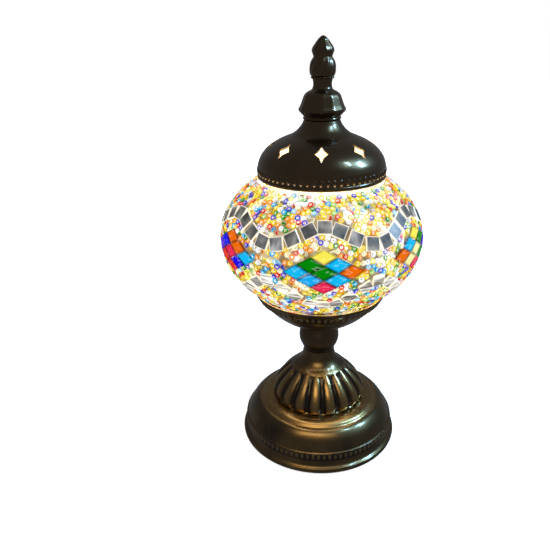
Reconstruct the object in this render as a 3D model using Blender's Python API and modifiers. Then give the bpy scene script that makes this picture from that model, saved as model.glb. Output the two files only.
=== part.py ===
"""A mosaic glass table lamp: a pressed bronze foot, stem and cup, a lampholder with its
bulb, a blown glass globe under a coat of mosaic, and a pierced cap with a finial.

The origin is on the table, under the lamp's axis. +Z is up and the cord leaves at +Y.
Sizes are in millimetres and are turned into metres where the meshes are made.
"""

import math

import bmesh
import bpy
from mathutils import Matrix, Vector

MM = 0.001
GAP = 0.3  # left between two pieces that touch

# Heights where one piece stands on the next
PAD = 1.5  # thickness of the pad under the lamp
BASE_TOP = 32.5
BELL_TOP = 72.7
KNOP_TOP = 93.0
CUP_RIM = 123.3
SEAT_Z = 106.6  # underside of the dish that carries the glass
HOLDER_Z = 101.7
SOCKET_Z = 118.2  # top of the lampholder's core
COAT_TOP = 205.0
COAT_BOTTOM = 118.6
DOME_TOP = 243.0
CROWN_TOP = 261.6
FINIAL_TOP = 293.3

# Driving dimensions
SHEET = 1.0  # wall of the pressed metal
FOOT_RADIUS = 60.0
BAND_RADIUS = 57.6  # the ribbed band round the base
INLET_Z = 12.0  # height of the cord's way in
COAT_RADIUS = 70.8  # the globe over its mosaic
COAT_HALF_HEIGHT = 52.6  # as if the globe had no mouths
COAT_WALL = 1.5
GLOBE_CENTRE = 163.6
GLASS_WALL = 2.2
NECK_RADIUS = 30.0  # the glass below, in its gasket
MOUTH_RADIUS = 40.0  # the glass above, in the cap
TUBE_RADIUS = 5.0  # lamp tube, M10 x 1
TUBE_BORE = 3.8
TUBE_HOLE = 5.4
ROD_RADIUS = 3.0  # M6 rod of the cap
ROD_HOLE = 3.35
HOLDER_RADIUS = 13.8
BULB_RADIUS = 22.5  # a 45 mm golf ball bulb
BULB_CENTRE = 172.0
BULB_CAP = 6.85  # outer radius of an E14 cap
FLUTES = 18
FLUTE_DEPTH = 2.2
CROWN_FACETS = 12
PIERCINGS = 8

COARSE, MEDIUM, FINE = 12, 20, 32  # sides of a turned piece


def clear_scene():
    for obj in list(bpy.data.objects):
        bpy.data.objects.remove(obj, do_unlink=True)


def collection(name):
    made = bpy.data.collections.new(name)
    bpy.context.scene.collection.children.link(made)
    return made


def material(name, colour, roughness, metallic=0.0):
    made = bpy.data.materials.new(name)
    made.use_nodes = True
    shader = made.node_tree.nodes["Principled BSDF"]
    shader.inputs["Base Color"].default_value = (*colour, 1.0)
    shader.inputs["Roughness"].default_value = roughness
    shader.inputs["Metallic"].default_value = metallic
    return made


clear_scene()
LAMP = collection("mosaic_glass_table_lamp")
CUTTERS = collection("cutters")

BRONZE = material("antique_bronze", (0.10, 0.065, 0.035), 0.28, 1.0)
STEEL = material("zinc_plated_steel", (0.55, 0.54, 0.50), 0.35, 1.0)
BRASS = material("brass", (0.70, 0.50, 0.20), 0.30, 1.0)
BAKELITE = material("black_bakelite", (0.03, 0.028, 0.026), 0.40)
GLASS = material("clear_glass", (0.90, 0.93, 0.92), 0.05)
MOSAIC = material("mosaic_coat", (0.85, 0.70, 0.42), 0.45)
RUBBER = material("black_rubber", (0.03, 0.03, 0.03), 0.70)
PHOSPHOR = material("yellow_phosphor", (0.95, 0.75, 0.20), 0.50)


def add_object(name, data, finish, group=LAMP):
    obj = bpy.data.objects.new(name, data)
    group.objects.link(obj)
    if finish:
        data.materials.append(finish)
    return obj


def modifier(obj, kind, **settings):
    made = obj.modifiers.new(kind.title(), kind)
    for key, value in settings.items():
        setattr(made, key, value)
    return made


def thicken(obj, wall):
    modifier(obj, "SOLIDIFY", thickness=wall * MM, offset=-1, use_even_offset=True)


def turned(name, points, finish, steps=MEDIUM, closed=True):
    """Turns a line through (radius, height) points once about Z."""
    mesh = bpy.data.meshes.new(name)
    last = len(points) if closed else len(points) - 1
    edges = [(i, (i + 1) % len(points)) for i in range(last)]
    mesh.from_pydata([(r * MM, 0, z * MM) for r, z in points], edges, [])
    obj = add_object(name, mesh, finish)
    modifier(
        obj,
        "SCREW",
        angle=2 * math.pi,
        steps=steps,
        render_steps=steps,
        use_merge_vertices=True,
        merge_threshold=0.00005,
    )
    return obj


def shell(name, points, finish, steps=FINE, wall=SHEET):
    """A spun or pressed sheet. The points run down its outer face."""
    obj = turned(name, points, finish, steps, closed=False)
    thicken(obj, wall)
    return obj


def solid(name, points, finish, steps=MEDIUM):
    """A turned piece with no hole: its points start and end on the axis."""
    return turned(name, points, finish, steps, closed=False)


def ring(name, inner, outer, low, high, finish, steps=MEDIUM):
    return turned(name, [(outer, high), (outer, low), (inner, low), (inner, high)], finish, steps)


def loft(name, rings, finish, group=LAMP, capped=False):
    """Skins closed rings of points, given from the top down."""
    cage = bmesh.new()
    rows = [[cage.verts.new(Vector(point) * MM) for point in points] for points in rings]
    for upper, lower in zip(rows, rows[1:]):
        for i in range(len(upper)):
            j = (i + 1) % len(upper)
            cage.faces.new((upper[i], lower[i], lower[j], upper[j]))
    if capped:
        cage.faces.new(rows[0])
        cage.faces.new(reversed(rows[-1]))
    mesh = bpy.data.meshes.new(name)
    cage.to_mesh(mesh)
    cage.free()
    return add_object(name, mesh, finish, group)


def prism(name, outline, low, high, finish, group=LAMP):
    """A flat outline, drawn anticlockwise, given depth along Z."""
    rings = [[(x, y, z) for x, y in outline] for z in (high, low)]
    return loft(name, rings, finish, group, capped=True)


def regular(sides, radius):
    turns = [2 * math.pi * i / sides for i in range(sides)]
    return [(radius * math.cos(t), radius * math.sin(t)) for t in turns]


def cut(obj, outline, low, high, place=Matrix(), operation="DIFFERENCE"):
    """Cuts a piece with a prism that is set down by a matrix."""
    name = f"cutter_{len(CUTTERS.objects) + 1}"
    cutter = prism(name, outline, low, high, None, CUTTERS)
    cutter.matrix_world = place
    cutter.hide_render = True
    cutter.display_type = "WIRE"
    modifier(obj, "BOOLEAN", object=cutter, operation=operation, solver="EXACT")


def hex_nut(name, across_flats, bore, low, high):
    """A hexagon nut: a ring wider than its corners, cut down to six sides."""
    corner = across_flats / math.sqrt(3)
    nut = ring(name, bore, corner * 1.2, low, high, STEEL)
    cut(nut, regular(6, corner), low - 1, high + 1, operation="INTERSECT")


def wire(name, points, radius, finish):
    """A round wire through points, with closed ends."""
    curve = bpy.data.curves.new(name, "CURVE")
    curve.dimensions = "3D"
    curve.bevel_depth = radius * MM
    curve.bevel_resolution = 1
    curve.use_fill_caps = True
    spline = curve.splines.new("POLY")
    spline.points.add(len(points) - 1)
    for place, (x, y, z) in zip(spline.points, points):
        place.co = (x * MM, y * MM, z * MM, 1)
    return add_object(name, curve, finish)


def on_circle(radius, turn, height):
    return (radius * math.cos(turn), radius * math.sin(turn), height)


def globe_arc(inset, steps=14):
    """The globe's outline from the coat's top edge to its lower edge, drawn inwards."""
    rise = [math.asin((z - GLOBE_CENTRE) / COAT_HALF_HEIGHT) for z in (COAT_TOP, COAT_BOTTOM)]
    turns = [rise[0] + (rise[1] - rise[0]) * i / steps for i in range(steps + 1)]
    return [
        (
            (COAT_RADIUS - inset) * math.cos(t),
            GLOBE_CENTRE + (COAT_HALF_HEIGHT - inset) * math.sin(t),
        )
        for t in turns
    ]


# ---------------------------------------------------------------- base
def make_base():
    solid("rubber_pad", [(0, PAD), (56.5, PAD), (56.5, 0), (0, 0)], RUBBER, FINE)
    low = PAD + GAP
    solid("base_plate", [(0, low + 1.5), (57, low + 1.5), (57, low), (0, low)], STEEL, FINE)
    base = shell(
        "base_shell",
        [
            (TUBE_HOLE, BASE_TOP),
            (35, BASE_TOP),
            (40, 32),
            (43.5, 30.6),
            (44.6, 29.4),
            (46, 29.2),
            (49, 27.2),
            (52, 24),
            (54.5, 20),
            (56.3, 16.4),
            (BAND_RADIUS, 15.2),
            (BAND_RADIUS, 10),
            (56.4, 8.6),
            (57.3, 5),
            (59.5, 3.6),
            (FOOT_RADIUS, 2.2),
            (FOOT_RADIUS - 0.4, 0.6),
        ],
        BRONZE,
    )
    facing_back = Matrix.Translation(Vector((0, 0, INLET_Z)) * MM)
    facing_back = facing_back @ Matrix.Rotation(-math.pi / 2, 4, "X")
    cut(base, regular(MEDIUM, 4.7), 48, 64, facing_back)
    grommet = turned(
        "cord_grommet",
        [
            (5.2, 59.5),
            (5.8, 59.0),
            (5.8, 58.0),
            (4.2, 58.0),
            (4.2, 54.0),
            (5.2, 54.0),
            (5.2, 52.8),
            (3.2, 52.8),
            (3.2, 59.5),
        ],
        RUBBER,
    )
    grommet.matrix_world = facing_back


# ---------------------------------------------------------------- stem and cup
def flute_depth(height):
    """How deep the flutes are at a height: nothing above their tops."""
    low, high = BASE_TOP, 58.5
    share = min(1.0, max(0.0, (height - low) / (high - low)))
    return FLUTE_DEPTH * math.sin(math.pi * share) ** 0.5


def make_fluted_bell():
    outline = [
        (TUBE_HOLE, BELL_TOP),
        (11.6, BELL_TOP),
        (12, 69.5),
        (13, 65.5),
        (16, 61.5),
        (20.2, 58.2),
        (25.3, 53.5),
        (29.3, 49),
        (32.2, 45),
        (34.4, 41),
        (35.2, 37),
        (34.8, 34.6),
        (34, BASE_TOP + GAP),
    ]
    sides = FLUTES * 4
    rings = []
    for radius, height in outline:
        points = []
        for i in range(sides):
            turn = 2 * math.pi * i / sides
            valley = 1 - abs(math.cos(FLUTES * turn / 2))
            points.append(on_circle(radius - flute_depth(height) * valley, turn, height))
        rings.append(points)
    thicken(loft("fluted_bell", rings, BRONZE), SHEET)


def make_stem():
    ring("stem_tube", TUBE_BORE, TUBE_RADIUS, 22, HOLDER_Z + 4.3, STEEL)
    under = BASE_TOP - SHEET - GAP
    ring("stem_washer", TUBE_HOLE, 12, under - 1.3, under, STEEL)
    hex_nut("stem_nut", 14, TUBE_HOLE, under - 6.6, under - 1.6)
    shell(
        "neck_knop",
        [
            (TUBE_HOLE, KNOP_TOP),
            (12.5, KNOP_TOP),
            (13.2, 90.5),
            (14.6, 87),
            (14.9, 83),
            (14.2, 79),
            (12.6, 75.5),
            (11.6, BELL_TOP + GAP),
        ],
        BRONZE,
    )
    floor = KNOP_TOP + GAP
    shell(
        "cup",
        [
            (47.5, CUP_RIM),
            (46.5, 120.5),
            (44, 117),
            (39.5, 111.5),
            (34, 106),
            (27, 100.5),
            (20, 96.5),
            (13, floor),
            (TUBE_HOLE, floor),
        ],
        BRONZE,
    )
    inside = floor + SHEET + GAP
    ring("cup_washer", TUBE_HOLE, 10.6, inside, inside + 1.2, STEEL)
    hex_nut("cup_nut", 14, TUBE_HOLE, inside + 1.5, inside + 5.5)
    shell(
        "seat_dish",
        [(32, SEAT_Z), (19, SEAT_Z), (13.4, 100.4), (TUBE_HOLE, 100.4)],
        STEEL,
    )
    seat = SEAT_Z + SHEET + GAP
    ring("glass_gasket", NECK_RADIUS - 3.5, NECK_RADIUS + 1.5, seat, seat + 1.2, RUBBER, FINE)


# ---------------------------------------------------------------- lampholder
def make_lampholder():
    joint = HOLDER_Z + 11.3
    mouth = SOCKET_Z + 20.8
    turned(
        "holder_base",
        [
            (HOLDER_RADIUS, joint),
            (HOLDER_RADIUS, HOLDER_Z + 5.3),
            (11, HOLDER_Z),
            (TUBE_HOLE, HOLDER_Z),
            (TUBE_HOLE, HOLDER_Z + 5.6),
            (11.8, HOLDER_Z + 7.2),
            (11.8, joint),
        ],
        BAKELITE,
    )
    turned(
        "holder_sleeve",
        [
            (12.8, mouth),
            (HOLDER_RADIUS, mouth - 1.4),
            (HOLDER_RADIUS, joint + GAP),
            (12.4, joint + GAP),
            (12.4, mouth - 4.6),
            (8.4, mouth - 2.6),
            (8.4, mouth),
        ],
        BAKELITE,
    )
    floor = joint + 2 * GAP
    top = SOCKET_Z - GAP
    solid("holder_core", [(0, top), (11.8, top), (11.8, floor), (0, floor)], BAKELITE)
    ring("holder_screw_shell", 7.3, 7.8, SOCKET_Z, mouth - 0.8, BRASS)
    solid(
        "centre_contact",
        [(0, SOCKET_Z + 2.2), (1.7, SOCKET_Z + 2), (2.6, SOCKET_Z), (0, SOCKET_Z)],
        BRASS,
        COARSE,
    )
    for number, side in ((1, -1), (2, 1)):
        block = [(-2.5, -2), (2.5, -2), (2.5, 2), (-2.5, 2)]
        terminal = prism(f"terminal_{number}", block, -1.6, 1.6, BRASS)
        terminal.location = Vector((side * 6.5, 0, floor - GAP - 1.6)) * MM
        screw = prism(f"terminal_screw_{number}", regular(COARSE, 1.4), -0.7, 0.7, STEEL)
        screw.rotation_euler = (0, math.pi / 2, 0)
        screw.location = Vector((side * 10.0, 0, floor - GAP - 1.6)) * MM


# ---------------------------------------------------------------- bulb
def make_bulb():
    tip = SOCKET_Z + 2.6
    solid(
        "bulb_contact",
        [(0, tip + 1.6), (2.4, tip + 1.6), (2.1, tip + 0.6), (0, tip)],
        STEEL,
        COARSE,
    )
    low = tip + 1.6 + GAP
    solid("bulb_insulator", [(0, low + 2.7), (6.2, low + 2.7), (2.9, low), (0, low)], BAKELITE)
    skirt = low + 3
    neck = 141.7
    ring("bulb_cap", BULB_CAP - 0.5, BULB_CAP, skirt, neck, STEEL)
    ball = [math.radians(angle) for angle in range(18, 127, 18)]
    shell(
        "bulb_glass",
        [(0, BULB_CENTRE + BULB_RADIUS)]
        + [
            (BULB_RADIUS * math.sin(a), BULB_CENTRE + BULB_RADIUS * math.cos(a))
            for a in ball
        ]
        + [(13.6, 152.8), (9.8, 147.6), (7.4, neck + GAP)],
        GLASS,
        MEDIUM,
        0.8,
    )
    solid(
        "bulb_stem",
        [(0, 160), (1.5, 159.4), (1.8, 149), (4.2, neck + 2), (0, neck + 2)],
        GLASS,
        COARSE,
    )
    for i in range(4):
        turn = math.radians(45 + 90 * i)
        ends = [on_circle(7, turn, 161), on_circle(3.4, turn, 186)]
        wire(f"filament_{i + 1}", ends, 0.7, PHOSPHOR)
    for i, turn in enumerate((0, math.pi)):
        bends = [on_circle(2.8, turn, 149.5), on_circle(4.4, turn, 158), on_circle(6.4, turn, 159.4)]
        wire(f"lead_wire_{i + 1}", bends, 0.35, STEEL)


# ---------------------------------------------------------------- globe
def make_globe():
    outer = globe_arc(0)
    inner = globe_arc(COAT_WALL)
    turned("mosaic_coat", outer + inner[::-1], MOSAIC, FINE)
    inset = COAT_WALL + GAP
    low = SEAT_Z + SHEET + 1.2 + 2 * GAP
    inner_neck = NECK_RADIUS - GLASS_WALL
    inner_mouth = MOUTH_RADIUS - GLASS_WALL
    outside = [
        (MOUTH_RADIUS + 0.4, 211),
        (MOUTH_RADIUS + 0.9, 209.6),
        (MOUTH_RADIUS, 207.6),
        (MOUTH_RADIUS, 205.4),
    ]
    outside += globe_arc(inset)
    outside += [(NECK_RADIUS, 117.9), (NECK_RADIUS, low)]
    inside = [(inner_mouth + 0.4, 211), (inner_mouth, 209), (inner_mouth, 204.2)]
    inside += globe_arc(inset + GLASS_WALL)
    inside += [(inner_neck, 118.9), (inner_neck, low)]
    turned("globe_glass", outside + inside[::-1], GLASS, FINE)


# ---------------------------------------------------------------- cap
def make_dome():
    dome = shell(
        "dome_cap",
        [
            (ROD_HOLE, DOME_TOP),
            (12, DOME_TOP),
            (13.2, 240),
            (16, 236.3),
            (20, 233.4),
            (24.5, 231.5),
            (30.5, 228.8),
            (36.8, 224.5),
            (40.7, 219.5),
            (42.8, 215),
            (43.3, 213),
            (43.3, COAT_TOP + 0.4),
        ],
        BRONZE,
    )
    dome.rotation_euler.z = math.pi / FINE
    star = [(6.6, 0), (1.9, 1.6), (0, 4.5), (-1.9, 1.6)]
    star += [(-x, -y) for x, y in star]
    for i in range(PIERCINGS):
        place = Matrix.Rotation(2 * math.pi * i / PIERCINGS, 4, "Z")
        place = place @ Matrix.Translation(Vector((33, 0, 226.6)) * MM)
        cut(dome, star, -5, 5, place @ Matrix.Rotation(math.radians(34), 4, "Y"))


def make_crown():
    under = DOME_TOP - SHEET - GAP
    ring("cap_washer", ROD_HOLE, 8, under - 1.4, under, STEEL)
    hex_nut("cap_nut", 10, ROD_HOLE, under - 6.2, under - 1.7)
    rod_low, rod_high = under - 7.7, 266.0
    rod = [(0, rod_high), (ROD_RADIUS, rod_high), (ROD_RADIUS, rod_low), (0, rod_low)]
    solid("cap_rod", rod, STEEL, COARSE)
    seat = DOME_TOP + 0.4
    turned(
        "crown_bell",
        [
            (6.6, CROWN_TOP),
            (8, 260.8),
            (10.8, 259.2),
            (12.5, 257.2),
            (14.1, 253.4),
            (15.5, 249.7),
            (15, 247.8),
            (13.3, 246),
            (12.3, 244.5),
            (12.2, seat),
            (ROD_HOLE, seat),
            (ROD_HOLE, CROWN_TOP),
        ],
        BRONZE,
        CROWN_FACETS,
    )
    foot = CROWN_TOP + GAP
    turned(
        "finial",
        [
            (0, FINIAL_TOP),
            (3, 291.3),
            (4.6, 289.3),
            (6.6, 286.5),
            (7.1, 284.4),
            (6.2, 282.2),
            (6.1, 280.6),
            (7.6, 278.3),
            (8.6, 275),
            (8.5, 272.5),
            (7.9, 270),
            (7.2, 268.8),
            (6.3, 267.5),
            (6, 265),
            (6.2, 263),
            (6.6, foot),
            (ROD_HOLE, foot),
            (ROD_HOLE, rod_high + GAP),
            (0, rod_high + GAP),
        ],
        BRONZE,
        closed=False,
    )


make_base()
make_fluted_bell()
make_stem()
make_lampholder()
make_bulb()
make_globe()
make_dome()
make_crown()

for piece in LAMP.objects:
    if piece.type == "MESH" and piece.name != "crown_bell":
        piece.data.shade_smooth()
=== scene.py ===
"""The mosaic glass table lamp, dressed round its CAD frame.

It follows the lamp as it is put together: the pad and base, the stem and cup, the
lampholder and bulb, the globe with its mosaic, and the pierced cap with its finial.
"""

import math
import random

import bmesh
import bpy
import numpy as np
from mathutils import Matrix, Vector


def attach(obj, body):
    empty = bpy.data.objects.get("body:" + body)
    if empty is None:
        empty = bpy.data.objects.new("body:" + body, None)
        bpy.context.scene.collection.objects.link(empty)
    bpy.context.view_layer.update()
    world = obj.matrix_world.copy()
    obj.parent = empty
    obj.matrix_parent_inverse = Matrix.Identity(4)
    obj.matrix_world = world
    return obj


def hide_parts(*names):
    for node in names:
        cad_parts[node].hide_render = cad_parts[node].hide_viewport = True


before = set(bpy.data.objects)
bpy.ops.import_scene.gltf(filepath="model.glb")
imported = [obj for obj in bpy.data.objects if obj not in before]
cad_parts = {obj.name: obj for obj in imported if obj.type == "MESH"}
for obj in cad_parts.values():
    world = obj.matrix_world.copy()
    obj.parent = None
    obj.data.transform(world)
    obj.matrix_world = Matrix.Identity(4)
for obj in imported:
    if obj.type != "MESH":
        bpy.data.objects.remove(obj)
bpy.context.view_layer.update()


# ==== Rubber pad =======================================================================
# A black rubber disc, punched from fine-ribbed sheet and glued under the plate.
# The lamp stands on it, so its underside is flat and its edge is only just eased.
MM = 0.001
WHOLE_TURN = 2 * math.pi


def put(tree, kind, inputs=None, **settings):
    """Adds a node to a tree, sets it up, and fills or joins its inputs."""
    node = tree.nodes.new(kind)
    for key, value in settings.items():
        setattr(node, key, value)
    for socket, value in (inputs or {}).items():
        if isinstance(value, bpy.types.NodeSocket):
            tree.links.new(value, node.inputs[socket])
        else:
            node.inputs[socket].default_value = value
    return node


def finish(name, **values):
    """A new material and its shader, with the values that are the same all over."""
    made = bpy.data.materials.new(name)
    made.use_nodes = True
    tree = made.node_tree
    shader = tree.nodes["Principled BSDF"]
    for socket, value in values.items():
        shader.inputs[socket.replace("_", " ")].default_value = value
    place = put(tree, "ShaderNodeTexCoord").outputs["Object"]
    return made, tree, shader, place


def join(tree, output, socket):
    tree.links.new(output, socket)


def ramp(tree, fac, *stops, interpolation="LINEAR"):
    """A colour ramp from (position, colour) stops."""
    node = put(tree, "ShaderNodeValToRGB", {"Fac": fac})
    node.color_ramp.interpolation = interpolation
    while len(node.color_ramp.elements) < len(stops):
        node.color_ramp.elements.new(0.5)
    for element, (position, colour) in zip(node.color_ramp.elements, stops):
        element.position = position
        element.color = (*colour, 1)
    return node.outputs["Color"]


def grime_group():
    """Grime: two metals or paints mixed by a mask and a soft cloud, with a fine grain. On the rubbed bronze
    the mask also carries painted highlights and shade.
    """
    tree = bpy.data.node_groups.new("grime", "ShaderNodeTree")
    face = tree.interface
    face.new_socket("Place", in_out="INPUT", socket_type="NodeSocketVector")
    face.new_socket("Clean", in_out="INPUT", socket_type="NodeSocketColor")
    face.new_socket("Dark", in_out="INPUT", socket_type="NodeSocketColor")
    for name in ("Mask", "Cloud Scale", "Grain Scale", "Smooth", "Rough"):
        face.new_socket(name, in_out="INPUT", socket_type="NodeSocketFloat")
    face.new_socket("Color", in_out="OUTPUT", socket_type="NodeSocketColor")
    face.new_socket("Roughness", in_out="OUTPUT", socket_type="NodeSocketFloat")
    face.new_socket("Height", in_out="OUTPUT", socket_type="NodeSocketFloat")
    given = put(tree, "NodeGroupInput").outputs
    cloud = put(
        tree,
        "ShaderNodeTexNoise",
        {"Vector": given["Place"], "Scale": given["Cloud Scale"], "Detail": 5.0},
    ).outputs["Fac"]
    grain = put(
        tree,
        "ShaderNodeTexNoise",
        {"Vector": given["Place"], "Scale": given["Grain Scale"], "Detail": 2.0},
    ).outputs["Fac"]
    share = put(
        tree,
        "ShaderNodeMath",
        {0: cloud, 1: 1.6, 2: -0.55},
        operation="MULTIPLY_ADD",
        use_clamp=True,
    ).outputs[0]
    share = put(
        tree, "ShaderNodeMath", {0: share, 1: given["Mask"]}, operation="SUBTRACT", use_clamp=True
    ).outputs[0]
    colour = put(
        tree,
        "ShaderNodeMix",
        {"Factor": share, "A": given["Clean"], "B": given["Dark"]},
        data_type="RGBA",
    )
    rough = put(
        tree,
        "ShaderNodeMapRange",
        {
            "Value": cloud, "From Min": 0.35, "From Max": 0.7, "To Min": given["Smooth"],
            "To Max": given["Rough"]
        },
    ).outputs["Result"]
    put(
        tree,
        "NodeGroupOutput",
        {"Color": colour.outputs[2], "Roughness": rough, "Height": grain},
    )
    return tree


GRIME = grime_group()


def with_grime(tree, shader, place, clean, dark, mask=0.0, cloud=60.0, grain=900.0,
               smooth=0.3, rough=0.5, bump=0.05):
    """Joins the grime group to a shader with this finish's own values."""
    group = put(
        tree,
        "ShaderNodeGroup",
        {},
        node_tree=GRIME,
    )
    values = {
        "Place": place, "Clean": (*clean, 1), "Dark": (*dark, 1), "Mask": mask,
        "Cloud Scale": cloud, "Grain Scale": grain, "Smooth": smooth, "Rough": rough,
    }
    for socket, value in values.items():
        if isinstance(value, bpy.types.NodeSocket):
            join(tree, value, group.inputs[socket])
        else:
            group.inputs[socket].default_value = value
    join(tree, group.outputs["Color"], shader.inputs["Base Color"])
    join(tree, group.outputs["Roughness"], shader.inputs["Roughness"])
    bumped = put(
        tree,
        "ShaderNodeBump",
        {"Height": group.outputs["Height"], "Strength": bump, "Distance": 0.0002},
    )
    join(tree, bumped.outputs["Normal"], shader.inputs["Normal"])
    return group


def turned(name, outline, material, steps=144, shape=None, sharp=40):
    """Turns an outline once about the lamp's axis. It runs down the piece's outer side and
    back up its inner side, or starts and ends on the axis. shape(radius, height, angle)
    gives the radius of a piece that isn't round."""
    points, rows = [], []
    for radius, height in outline:
        first = len(points)
        if radius <= 0:
            points.append((0, 0, height * MM))
            rows.append([first] * steps)
            continue
        for i in range(steps):
            angle = WHOLE_TURN * i / steps
            r = shape(radius, height, angle) if shape else radius
            points.append((r * math.cos(angle) * MM, r * math.sin(angle) * MM, height * MM))
        rows.append(range(first, first + steps))
    if outline[0][0] > 0:
        rows.append(rows[0])
    faces = []
    for upper, lower in zip(rows, rows[1:]):
        for i in range(steps):
            j = (i + 1) % steps
            loop = dict.fromkeys((upper[i], lower[i], lower[j], upper[j]))
            faces.append(tuple(loop))
    mesh = bpy.data.meshes.new(name)
    mesh.from_pydata(points, [], faces)
    mesh.materials.append(material)
    mesh.shade_smooth()
    mesh.set_sharp_from_angle(angle=math.radians(sharp))
    obj = bpy.data.objects.new(name, mesh)
    bpy.context.scene.collection.objects.link(obj)
    return obj


def flow(points, each=5):
    """A smooth line through (radius, height) points."""
    if len(points) < 3:
        return list(points)
    p = np.array([points[0], *points, points[-1]], float)
    line = []
    for i in range(1, len(p) - 2):
        for k in range(each):
            t = k / each
            line.append(tuple(0.5 * (
                2 * p[i]
                + (p[i + 1] - p[i - 1]) * t
                + (2 * p[i - 1] - 5 * p[i] + 4 * p[i + 1] - p[i + 2]) * t * t
                + (3 * p[i] - p[i - 1] - 3 * p[i + 1] + p[i + 2]) * t ** 3
            )))
    return [(float(r), float(z)) for r, z in line] + [tuple(points[-1])]


def eased(points, size=0.35, closed=True):
    """Rounds the corners of an outline that turn by more than about 25 degrees."""
    p = [Vector(point) for point in points]
    line = []
    for i, here in enumerate(p):
        before, after = p[i - 1], p[(i + 1) % len(p)]
        if not closed and i in (0, len(p) - 1):
            line.append(tuple(here))
            continue
        back, on = before - here, after - here
        if back.length < 1e-6 or on.length < 1e-6:
            continue
        turn = math.pi - back.angle(on)
        if turn < math.radians(25):
            line.append(tuple(here))
            continue
        cut = min(size, back.length * 0.45, on.length * 0.45)
        a, b = here + back.normalized() * cut, here + on.normalized() * cut
        for t in (0, 0.33, 0.67, 1):
            q = a * (1 - t) ** 2 + here * 2 * t * (1 - t) + b * t * t
            line.append((q.x, q.y))
    return line


def hand_over(piece, body, slot, *nodes):
    """The piece rides on a body and stands for its CAD nodes, which are hidden; the finish slot it is given
    is not used.
    """
    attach(piece, body)
    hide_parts(*nodes)
    return piece


rubber, tree, shader, place = finish("black rubber", Specular_IOR_Level=0.35)
with_grime(tree, shader, place, (0.028, 0.028, 0.03), (0.06, 0.058, 0.055),
           cloud=45, grain=1500, smooth=0.62, rough=0.85, bump=0.25)

pad = turned("rubber_pad", eased([(0, 1.5), (56.5, 1.5), (56.5, 0), (0, 0)], 0.3, False), rubber)
hand_over(pad, "lamp", "black_rubber", "rubber_pad")


# ==== Bottom plate =====================================================================
# A disc of zinc-plated steel that closes the hollow base from below.
# It is punched from sheet, and its plating has gone slightly cloudy.
zinc, tree, shader, place = finish("zinc-plated steel", Metallic=1.0)
with_grime(tree, shader, place, (0.62, 0.61, 0.58), (0.34, 0.33, 0.30),
           cloud=90, grain=1400, smooth=0.22, rough=0.48, bump=0.08)


plate = turned("bottom_plate", eased([(0, 3.3), (57, 3.3), (57, 1.8), (0, 1.8)], 0.3, False), zinc)
hand_over(plate, "lamp", "zinc_plated_steel", "base_plate")


# ==== Base =============================================================================
# Spun from one sheet of brass, blackened and lacquered: a flat top, a rolled ring and a
# groove, a round shoulder, a ribbed band and a flared foot. The ribs are rolled in.
def bronze_finish(name, clean, rub_and_sheen):
    """Dark antique bronze under lacquer, warmer and lighter where it is rubbed and where highlights are
    painted in. The last argument is one amount for the whole piece, or the name of an attribute that gives it
    point by point."""
    made, tree, shader, place = finish(
        name, Metallic=1.0, Coat_Weight=1.0, Coat_Roughness=0.08, Coat_IOR=1.4
    )
    if isinstance(rub_and_sheen, str):
        worn_and_lit = put(tree, "ShaderNodeAttribute", {}, attribute_name=rub_and_sheen).outputs["Fac"]
        rub_and_sheen = put(
            tree, "ShaderNodeMapRange", {"Value": worn_and_lit, "To Min": -0.9, "To Max": 0.55}
        ).outputs["Result"]
    with_grime(tree, shader, place, clean, (0.040, 0.029, 0.019),
               mask=rub_and_sheen, cloud=38, grain=700, smooth=0.24, rough=0.38, bump=0.035)
    return made


bronze = bronze_finish("antique bronze", (0.150, 0.095, 0.046), 0.10)
# The rubbed bronze is lighter and warmer where it is marked high, as rubbed wear and painted highlights, and
# darker where it is marked low, as painted shade.
wear_and_sheen_bronze = bronze_finish("rubbed antique bronze", (0.36, 0.225, 0.080), "worn_and_lit")


def wear_and_sheen(piece, amounts):
    """How much each point of a bronze piece is rubbed bare and lit by painted highlights (low values give
    painted shade), or one amount for them all.
    """
    worn_and_lit = piece.data.attributes.new("worn_and_lit", "FLOAT", "POINT")
    every = np.broadcast_to(amounts, len(piece.data.vertices))
    worn_and_lit.data.foreach_set("value", every.astype(np.float32))


BASE_OUTSIDE = (
    [(5.4, 32.5), (34.5, 32.5)]
    + flow([(36.2, 32.5), (38.6, 32.4), (41, 31.8), (42.9, 30.8), (44.0, 29.7)])
    + flow(
        [
            (44.6, 29.2), (45.3, 29.4), (47.2, 28.7), (49.4, 27), (52, 24), (54.2, 20.3),
            (55.7, 17.2), (56.1, 16.3)
        ]
    )
    + [(57.0, 15.9), (57.2, 15.4), (57.05, 15.0), (57.05, 10.4), (57.2, 10.0), (56.9, 9.5), (56.4, 9.2)]
    + flow([(56.3, 8.4), (56.6, 6.6), (57.6, 5.0), (59.2, 3.9)])
    + flow([(59.7, 3.3), (60, 2.3), (59.9, 1.3), (59.4, 0.6)], 3)
)
BASE_INSIDE = [
    (58.4, 0.6), (58.6, 2.4), (57.4, 3.8), (55.6, 6.4), (55.3, 9), (55.9, 10.5), (55.9, 15), (54.6, 17.2),
    (52.8, 20.4), (50.6, 23.4), (48, 26), (45, 27.8), (42.6, 29.0), (40, 30.8), (36, 31.5), (5.4, 31.5),
]
base = turned("base", eased(BASE_OUTSIDE + BASE_INSIDE), wear_and_sheen_bronze, 180)
# The top of the rolled ring is lightest, as rubbed wear and a painted highlight, and the ground of the ribbed
# band is darker, as painted shade between the ribs.
spots = np.array([v.co for v in base.data.vertices]) / MM
reach = np.hypot(spots[:, 0], spots[:, 1])
ring_top = (reach > 36) & (reach < 46) & (spots[:, 2] > 28.6)
band_ground = (reach > 55) & (spots[:, 2] > 9.6) & (spots[:, 2] < 15.8)
wear_and_sheen(base, np.where(ring_top, 1.0, np.where(band_ground, 0.12, 0.36)))


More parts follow.
